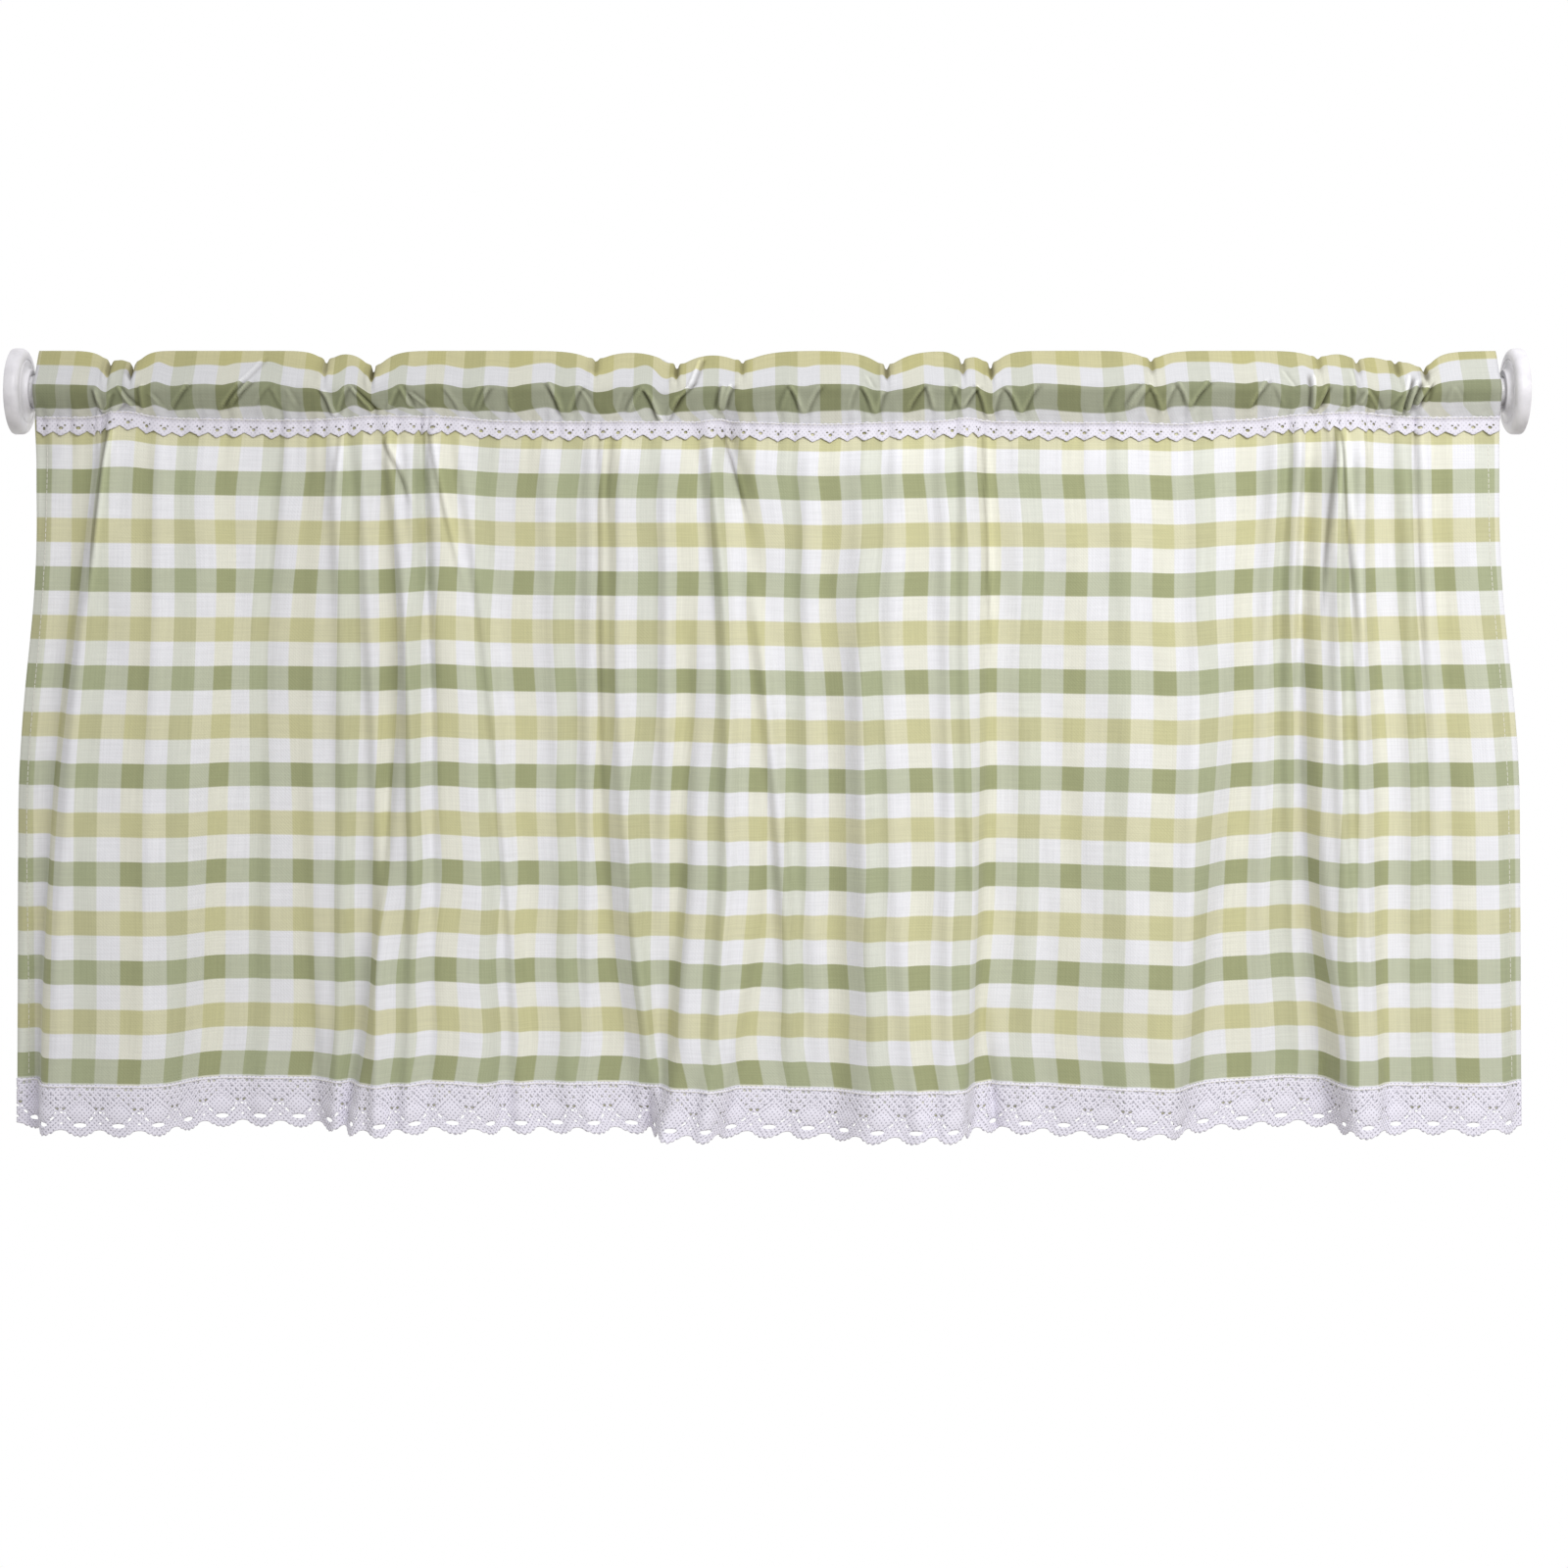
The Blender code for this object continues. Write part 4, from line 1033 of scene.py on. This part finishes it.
def framed_petals(tree, across, below):
    """Strength of the dotted lines of painted shade, from a flat place in metres. It fades
    outwards.
    """
    pitch = FLAT_WIDTH / WIDE_REPEATS
    # each step has a name, an operation and inputs, which are numbers or the names of steps
    steps = (
        ("scallops", "MULTIPLY", "across", 1 / (pitch * MM)),
        ("turn", "FRACT", "scallops"),
        ("from middle", "SUBTRACT", "turn", 0.5),
        ("share", "ABSOLUTE", "from middle"),
        ("side", "MULTIPLY", "share", pitch),
        ("above", "MULTIPLY_ADD", "below", 1 / MM, -FRAME_DOWN),
        ("depth", "ABSOLUTE", "above"),
        ("reach down", "MULTIPLY", "depth", 1 / PETAL_FRAME[1]),
        ("reach", "MULTIPLY_ADD", "side", 1 / PETAL_FRAME[0], "reach down"),
        ("past first", "SUBTRACT", "reach", 1.0),
        ("ring", "MULTIPLY", "past first", 2 * math.pi / FRAME_STEP),
        ("crest", "COSINE", "ring"),
        ("half", "MAXIMUM", "crest", 0.0),
        ("line", "POWER", "half", 6.0),              # narrow, along the crest
        ("place", "SUBTRACT", "side", "depth"),
        ("along", "MULTIPLY", "place", 2 * math.pi / DOT_PITCH),
        ("beat", "COSINE", "along"),
        ("dots", "MULTIPLY_ADD", "beat", 0.45, 0.55),
        ("outside", "GREATER_THAN", "reach", 0.8),   # none on the petal itself
        ("fall", "MULTIPLY_ADD", "reach", -0.45, 1.35),
        ("fading", "MAXIMUM", "fall", 0.15),
        ("dotted", "MULTIPLY", "line", "dots"),
        ("kept", "MULTIPLY", "outside", "fading"),
        ("gaps", "MULTIPLY", "dotted", "kept"),
    )
    found = {"across": across, "below": below}
    for step, operation, *inputs in steps:
        sockets = [(n, found.get(value, value)) for n, value in enumerate(inputs)]
        found[step] = add_node(tree, "ShaderNodeMath", sockets, operation=operation).outputs[0]
    return found["gaps"]


# %% Lace material
THREAD_BANDS = 120.0        # the wave texture makes this 2.6 mm from thread to thread
THREAD_SLANT = 0.75         # radians


def crochet_cotton(name, light, gap_shade, framed):
    """light is the colour of the threads; the second colour is the painted shade in the gaps
    between them.
    """
    material, tree, shader = new_material(name, Roughness=0.92, Sheen_Weight=0.15,
                                          Specular_IOR_Level=0.2)
    flat = add_node(tree, "ShaderNodeUVMap", uv_map="flat")
    # two layers of slanting threads, one each way, with fuzz on both
    threads = []
    for turn in (THREAD_SLANT, -THREAD_SLANT):
        place = add_node(tree, "ShaderNodeMapping", [(0, flat.outputs[0])],
                         Rotation=(0, 0, turn))
        threads.append(add_node(tree, "ShaderNodeTexWave", [(0, place.outputs[0])],
                                bands_direction="X", Scale=THREAD_BANDS, Distortion=1.6,
                                Detail=2.0, Detail_Scale=1.5).outputs["Fac"])
    crossed = add_node(tree, "ShaderNodeMath", enumerate(threads), operation="MAXIMUM")
    fuzz = add_node(tree, "ShaderNodeTexNoise", [(0, flat.outputs[0])], Scale=900.0, Detail=3.0)
    chain = add_node(tree, "ShaderNodeMath", [(0, crossed.outputs[0]), (1, fuzz.outputs[0])],
                     operation="MULTIPLY").outputs[0]
    if framed:
        split = add_node(tree, "ShaderNodeSeparateXYZ", [(0, flat.outputs[0])])
        gaps = framed_petals(tree, split.outputs[0], split.outputs[1])
        chain = add_node(tree, "ShaderNodeMath", [(0, gaps), (1, -FRAME_DEPTH), (2, chain)],
                         operation="MULTIPLY_ADD").outputs[0]
    bump = add_node(tree, "ShaderNodeBump", [("Height", chain)], Strength=0.3,
                    Distance=0.0003)
    tree.links.new(bump.outputs[0], shader.inputs["Normal"])
    # painted shade: where the threads recede the colour turns to the darker gap colour
    shade = add_node(tree, "ShaderNodeValToRGB", [(0, chain)],
                     stops=[(0.0, hex_to_linear(gap_shade)), (0.3, hex_to_linear(light))])
    tree.links.new(shade.outputs[0], shader.inputs["Base Color"])
    return material


# thread colour, then the painted shade of the gaps between threads
hem_lace.data.materials.append(
    crochet_cotton("bleached_cotton_crochet", "#F0EDF9", "#B4B1BE", True))
heading_lace.data.materials.append(
    crochet_cotton("fine_cotton_crochet", "#E2DFE9", "#C9C6D1", False))
print("laces:", [lace.data.materials[0].name for lace in (hem_lace, heading_lace)])

# %% [markdown]
# ## Stitching
# The laces, the side hems and the pocket are sewn by machine, with a stitch every four
# millimetres. One stitch is modelled, a short six-sided thread that tapers at both ends, and
# every row is made of copies of it laid along the cloth.

# %% Model one stitch
THREAD_RADIUS = 0.3
STITCH_LENGTH, STITCH_PITCH = 2.5, 4.2
TAPER = 0.4                  # length of each tapered end, which narrows to half


def model_stitch():
    bpy.ops.object.select_all(action="DESELECT")
    bpy.ops.mesh.primitive_cylinder_add(vertices=6, radius=THREAD_RADIUS * MM,
                                        depth=STITCH_LENGTH * MM)
    piece = bpy.context.object
    piece.name = "stitch"
    bpy.ops.object.mode_set(mode="EDIT")
    for end in (-1, 1):
        bpy.ops.mesh.select_all(action="DESELECT")
        shape = bmesh.from_edit_mesh(piece.data)
        for face in shape.faces:
            face.select = face.normal.z * end > 0.9
        bmesh.update_edit_mesh(piece.data)
        bpy.ops.mesh.extrude_region_move(
            TRANSFORM_OT_translate={"value": (0, 0, end * TAPER * MM)})
        bpy.ops.transform.resize(value=(0.5, 0.5, 1))
    bpy.ops.object.mode_set(mode="OBJECT")
    return piece


stitch = model_stitch()
print("one stitch has", len(stitch.data.polygons), "faces")


# %% Sew the rows
SIDE_ROW_IN = 9.0            # the side hems' stitches, from the cloth's edge
SIDE_ROW_TOP = -42.0
BITE = 0.15                  # the thread's middle lies this far in front of what it holds


def sew(name, places, stitch):
    """A row of stitches through places (n, 3) in millimetres, joined into one piece."""
    steps = np.linalg.norm(np.diff(places, axis=0), axis=1)
    run = np.concatenate([[0], np.cumsum(steps)])
    count = int(run[-1] / STITCH_PITCH)
    bpy.ops.object.select_all(action="DESELECT")
    for n in range(count):
        middle = (n + 0.5) * run[-1] / count
        ends = [np.array([np.interp(middle + reach, run, places[:, axis]) for axis in range(3)])
                for reach in (-STITCH_LENGTH / 2, STITCH_LENGTH / 2)]
        turn = Vector(ends[1] - ends[0]).to_track_quat("Z", "Y").to_matrix().to_4x4()
        copy = bpy.data.objects.new(name, stitch.data.copy())
        copy.data.transform(Matrix.Translation((ends[0] + ends[1]) / 2 * MM) @ turn)
        bpy.context.scene.collection.objects.link(copy)
        copy.select_set(True)
    bpy.context.view_layer.objects.active = copy
    bpy.ops.object.join()
    copy.name = name
    copy.data.shade_smooth()
    print(f"{name}: {count} stitches")
    return copy


sewn_across = np.linspace(4.0, FLAT_WIDTH - 4.0, 900)
lace_ahead = np.full(len(sewn_across), LACE_AHEAD + LACE_THICKNESS / 2 + BITE)
heading_stitches = sew("heading_lace_stitches",
                       rumpled_lay(sewn_across, 0 * sewn_across + 1.2, lace_ahead), stitch)
hem_stitches = sew("hem_lace_stitches",
                   wide_lay(sewn_across, 0 * sewn_across + 1.5, lace_ahead + 0.2), stitch)
side_rows = []
for share in (SIDE_ROW_IN / FLAT_WIDTH, 1 - SIDE_ROW_IN / FLAT_WIDTH):
    edge = np.array([share])
    line = np.array([cloth_row(z, edge)[0] + facing(z, edge)[0] * (CLOTH_THICKNESS / 2 + 0.1)
                     for z in np.linspace(SIDE_ROW_TOP, WIDE_TOP + 3.0, 160)])
    side_rows.append(sew("side_hem_stitches", line, stitch))
side_stitches = side_rows[0]
select_only(side_stitches)
side_rows[1].select_set(True)
bpy.ops.object.join()
# the pocket's own seam shows at the back, 5 mm above the raw edge
seam_row = int(np.searchsorted(up_rows, POCKET_LENGTH - 5.0))
pocket_stitches = sew("pocket_seam_stitches", (
    pocket_points + outward * (CLOTH_THICKNESS / 2 + BITE))[seam_row, ::2], stitch)
bpy.data.objects.remove(stitch)

# %% [markdown]
# ## Sewing thread
# The thread is mercerised cotton in natural white. Its two plies show as a fine slanting
# ripple, drawn about twice as coarse as the real 0.3 mm twist.

# %% Thread material
def sewing_thread(name):
    material, tree, shader = new_material(name, Roughness=0.6, Sheen_Weight=0.1)
    place = add_node(tree, "ShaderNodeTexCoord")
    twist = add_node(tree, "ShaderNodeTexNoise", [(0, place.outputs["Object"])], Scale=1600.0,
                     Detail=2.0)
    shade = add_node(tree, "ShaderNodeValToRGB", [(0, twist.outputs[0])],
                     stops=[(0.3, hex_to_linear("#D6D3CB")), (0.65, hex_to_linear("#EFEDE6"))])
    tree.links.new(shade.outputs[0], shader.inputs["Base Color"])
    bump = add_node(tree, "ShaderNodeBump", [("Height", twist.outputs[0])], Strength=0.4,
                    Distance=0.0001)
    tree.links.new(bump.outputs[0], shader.inputs["Normal"])
    return material


thread = sewing_thread("natural_cotton_thread")
for piece in (heading_stitches, hem_stitches, side_stitches, pocket_stitches):
    piece.data.materials.clear()
    piece.data.materials.append(thread)
print("thread:", len(thread.node_tree.nodes), "nodes")

# %% [markdown]
# ## End pads
# A pad is one plastic moulding: a thick disc with a rolled rim, a dished and ribbed outer face
# that grips the wall, and a flared collar on the inner face with a socket for the rod. Half of
# its section is drawn by extruding a single corner from point to point, and spun round the rod.

# %% Mould the end pads
OUTER_TUBE, INNER_TUBE = 25.0, 22.0
SOCKET_PLAY, LEAD_IN = 0.4, 0.4      # room round the rod, and how far the mouth is eased
COLLAR_END, SOCKET_FLOOR = 15.0, 4.0
PAD_STEPS = 96
SHARPER = math.radians(38)   # edges sharper than this are not shaded smooth
# distance inward from the outer face, radius
PAD_FACE = ((0.8, 0.0), (0.8, 8.2), (0.2, 9.2), (0.0, 10.2))
RIB_STARTS = (13.0, 18.0, 23.0, 28.0)
RIB = ((0.0, 0.0), (0.6, 0.7), (0.6, 2.3), (0.0, 3.0))    # radius from where the rib starts
PAD_RIM = ((0.0, 32.0), (0.45, 33.0), (1.5, 33.5), (6.2, 33.5), (8.0, 33.2), (9.5, 32.1),
           (10.5, 30.4), (11.0, 28.5), (11.0, 25.6), (10.5, 25.1), (10.5, 24.1), (11.0, 23.6),
           (11.3, 20.6), (12.0, 18.2), (13.0, 17.2), (14.3, 16.9), (14.8, 16.5),
           (COLLAR_END, 15.8))


def draw_and_spin(name, outline):
    """Draws (x, radius) points in millimetres as a chain of edges and spins it about X."""
    bpy.ops.object.select_all(action="DESELECT")
    bpy.ops.mesh.primitive_plane_add(size=MM, enter_editmode=True, location=(0, 0, 0))
    bpy.ops.mesh.merge(type="CENTER")
    bpy.ops.transform.translate(value=(outline[0][0] * MM, 0, outline[0][1] * MM))
    for (x0, r0), (x1, r1) in zip(outline, outline[1:]):
        bpy.ops.mesh.extrude_region_move(
            TRANSFORM_OT_translate={"value": ((x1 - x0) * MM, 0, (r1 - r0) * MM)})
    bpy.ops.mesh.select_all(action="SELECT")
    bpy.ops.mesh.spin(steps=PAD_STEPS, angle=2 * math.pi, center=(0, 0, 0), axis=(1, 0, 0))
    bpy.ops.mesh.select_all(action="SELECT")
    bpy.ops.mesh.remove_doubles(threshold=0.02 * MM)
    bpy.ops.mesh.normals_make_consistent(inside=False)
    bpy.ops.object.mode_set(mode="OBJECT")
    piece = bpy.context.object
    piece.name = name
    bpy.ops.object.transform_apply(location=True, rotation=True, scale=True)
    bpy.ops.object.shade_smooth_by_angle(angle=SHARPER)
    return piece


def end_pad(name, outer_x, inward, tube):
    """inward is +1 or -1: the way from the outer face to the rod."""
    socket = tube / 2 + SOCKET_PLAY
    ribs = [(x, start + r) for start in RIB_STARTS for x, r in RIB]
    outline = [*PAD_FACE, *ribs, *PAD_RIM, (COLLAR_END, socket + LEAD_IN),
               (COLLAR_END - LEAD_IN, socket), (SOCKET_FLOOR, socket), (SOCKET_FLOOR, 0.0)]
    return draw_and_spin(name, [(outer_x + inward * x, r) for x, r in outline])


left_pad = end_pad("left_pad", 0.0, 1, OUTER_TUBE)
right_pad = end_pad("right_pad", ROD_SPAN, -1, INNER_TUBE)
print("pads:", len(left_pad.data.polygons), len(right_pad.data.polygons), "faces")

# %% [markdown]
# ## Moulded plastic and enamel
# The pads are moulded in a cool white plastic with a satin, very finely sparked surface, a
# little greyer where handling has dulled it. The steel rod is coated with white enamel, which
# is smoother, has the slight ripple of a sprayed coat and carries faint scuffs along its length.

# %% Plastic and enamel materials
def hard_coat(name, light, worn, stretch, roughness, ripple):
    """A moulded or sprayed surface. stretch is the Object-space scale of its faint marks,
    roughness a pair between which it wanders, ripple the scale and height of its bumps."""
    material, tree, shader = new_material(name, IOR=1.48)
    place = add_node(tree, "ShaderNodeTexCoord")
    spread = add_node(tree, "ShaderNodeMapping", [(0, place.outputs["Object"])], Scale=stretch)
    marks = add_node(tree, "ShaderNodeTexNoise", [(0, spread.outputs[0])], Scale=1.0,
                     Detail=5.0, Roughness=0.6)
    shade = add_node(tree, "ShaderNodeValToRGB", [(0, marks.outputs[0])],
                     stops=[(0.36, hex_to_linear(worn)), (0.58, hex_to_linear(light))])
    tree.links.new(shade.outputs[0], shader.inputs["Base Color"])
    dull = add_node(tree, "ShaderNodeMapRange", [(0, marks.outputs[0])], From_Min=0.35,
                    From_Max=0.65, To_Min=roughness[1], To_Max=roughness[0])
    tree.links.new(dull.outputs[0], shader.inputs["Roughness"])
    grain = add_node(tree, "ShaderNodeTexNoise", [(0, place.outputs["Object"])],
                     Scale=ripple[0], Detail=3.0)
    bump = add_node(tree, "ShaderNodeBump", [("Height", grain.outputs[0])], Strength=0.3,
                    Distance=ripple[1])
    tree.links.new(bump.outputs[0], shader.inputs["Normal"])
    return material


pad_plastic = hard_coat("satin_white_plastic", "#E9E7EC", "#DCDADF", (60, 60, 60),
                        (0.36, 0.5), (1100, 0.0001))
rod_enamel = hard_coat("white_rod_enamel", "#E8E7EA", "#DBD9DC", (9, 160, 160), (0.25, 0.38),
                       (320, 0.00012))
rod = bpy.data.objects["tension_rod"]
for piece, coat in ((left_pad, pad_plastic), (right_pad, pad_plastic), (rod, rod_enamel)):
    piece.data.materials.clear()
    piece.data.materials.append(coat)
    print(f"{piece.name}: {coat.name}")

# %% [markdown]
# ## Studio
# The cloth is shown in light so soft that it has no direction to speak of, so that folds show
# only as gentle shade where they close in on themselves; the tightest creases also carry
# painted shade in the cloth's colour. The world itself is the lamp: full white behind the cloth
# and a little over half as bright in front. One broad lamp, high on the right, lifts the top and
# the right-hand side. The plain floor lies below the picture.

# %% Floor, lamp and world
FLOOR_LOW, FLOOR_HIGH, FLOOR_HEIGHT = (-3.6, -4.5), (4.8, 0.9), -1.4
FRONT_GLOW, BACK_GLOW = 0.575, 1.0       # strength of the world in front and behind
GLOW_TURNS = (-0.05, 0.25)               # how far round to the back it changes


def pale_floor(low, high, height):
    mesh = bpy.data.meshes.new("floor")
    corners = [(low[0], low[1]), (high[0], low[1]), (high[0], high[1]), (low[0], high[1])]
    mesh.from_pydata([(x, y, height) for x, y in corners], [], [(0, 1, 2, 3)])
    plate = bpy.data.objects.new("floor", mesh)
    bpy.context.scene.collection.objects.link(plate)
    paint, _, _ = new_material("floor_paint", Base_Color=hex_to_linear("#BFBCB6"),
                               Roughness=0.9, Specular_IOR_Level=0.1)
    mesh.materials.append(paint)
    return plate


def area_light(name, place, target, size, power, spread):
    light = bpy.data.lights.new(name, "AREA")
    light.shape = "RECTANGLE"
    light.size, light.size_y = size
    light.energy = power
    light.spread = math.radians(spread)
    lamp = bpy.data.objects.new(name, light)
    lamp.location = place
    aim = np.array(target) - np.array(place)
    yaw = math.atan2(-aim[0], aim[1])
    pitch = math.atan2(aim[2], math.hypot(aim[0], aim[1]))
    lamp.rotation_euler = (math.pi / 2 + pitch, 0, yaw)
    bpy.context.scene.collection.objects.link(lamp)
    return lamp


floor = pale_floor(FLOOR_LOW, FLOOR_HIGH, FLOOR_HEIGHT)
area_light("front", (1.4, -1.9, 0.95), (1.0, 0.0, -0.15), (1.4, 1.0), 14, 110)

world = bpy.data.worlds.new("studio")
bpy.context.scene.world = world
world.use_nodes = True
sky = world.node_tree
background = sky.nodes["Background"]
towards = add_node(sky, "ShaderNodeTexCoord")
parts = add_node(sky, "ShaderNodeSeparateXYZ", [(0, towards.outputs["Generated"])])
glow = add_node(sky, "ShaderNodeMapRange", [(0, parts.outputs[1])], From_Min=GLOW_TURNS[0],
                From_Max=GLOW_TURNS[1], To_Min=FRONT_GLOW, To_Max=BACK_GLOW)
sky.links.new(glow.outputs[0], background.inputs["Strength"])
background.inputs["Color"].default_value = WHITE
bpy.context.scene.view_settings.view_transform = "Standard"

# %% Hand the pieces over
for piece in (panel, pocket):
    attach(piece, "root")
    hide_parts("valance_panel")
for piece, node in ((heading_lace, "heading_lace"), (hem_lace, "hem_lace")):
    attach(piece, "root")
    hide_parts(node)
for piece, slot in ((heading_stitches, "cotton_lace"), (hem_stitches, "cotton_lace"),
                    (side_stitches, "checked_cotton"), (pocket_stitches, "checked_cotton")):
    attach(piece, "root")
for piece, node in ((left_pad, "end_pad_left"), (right_pad, "end_pad_right")):
    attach(piece, "root")
    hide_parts(node)
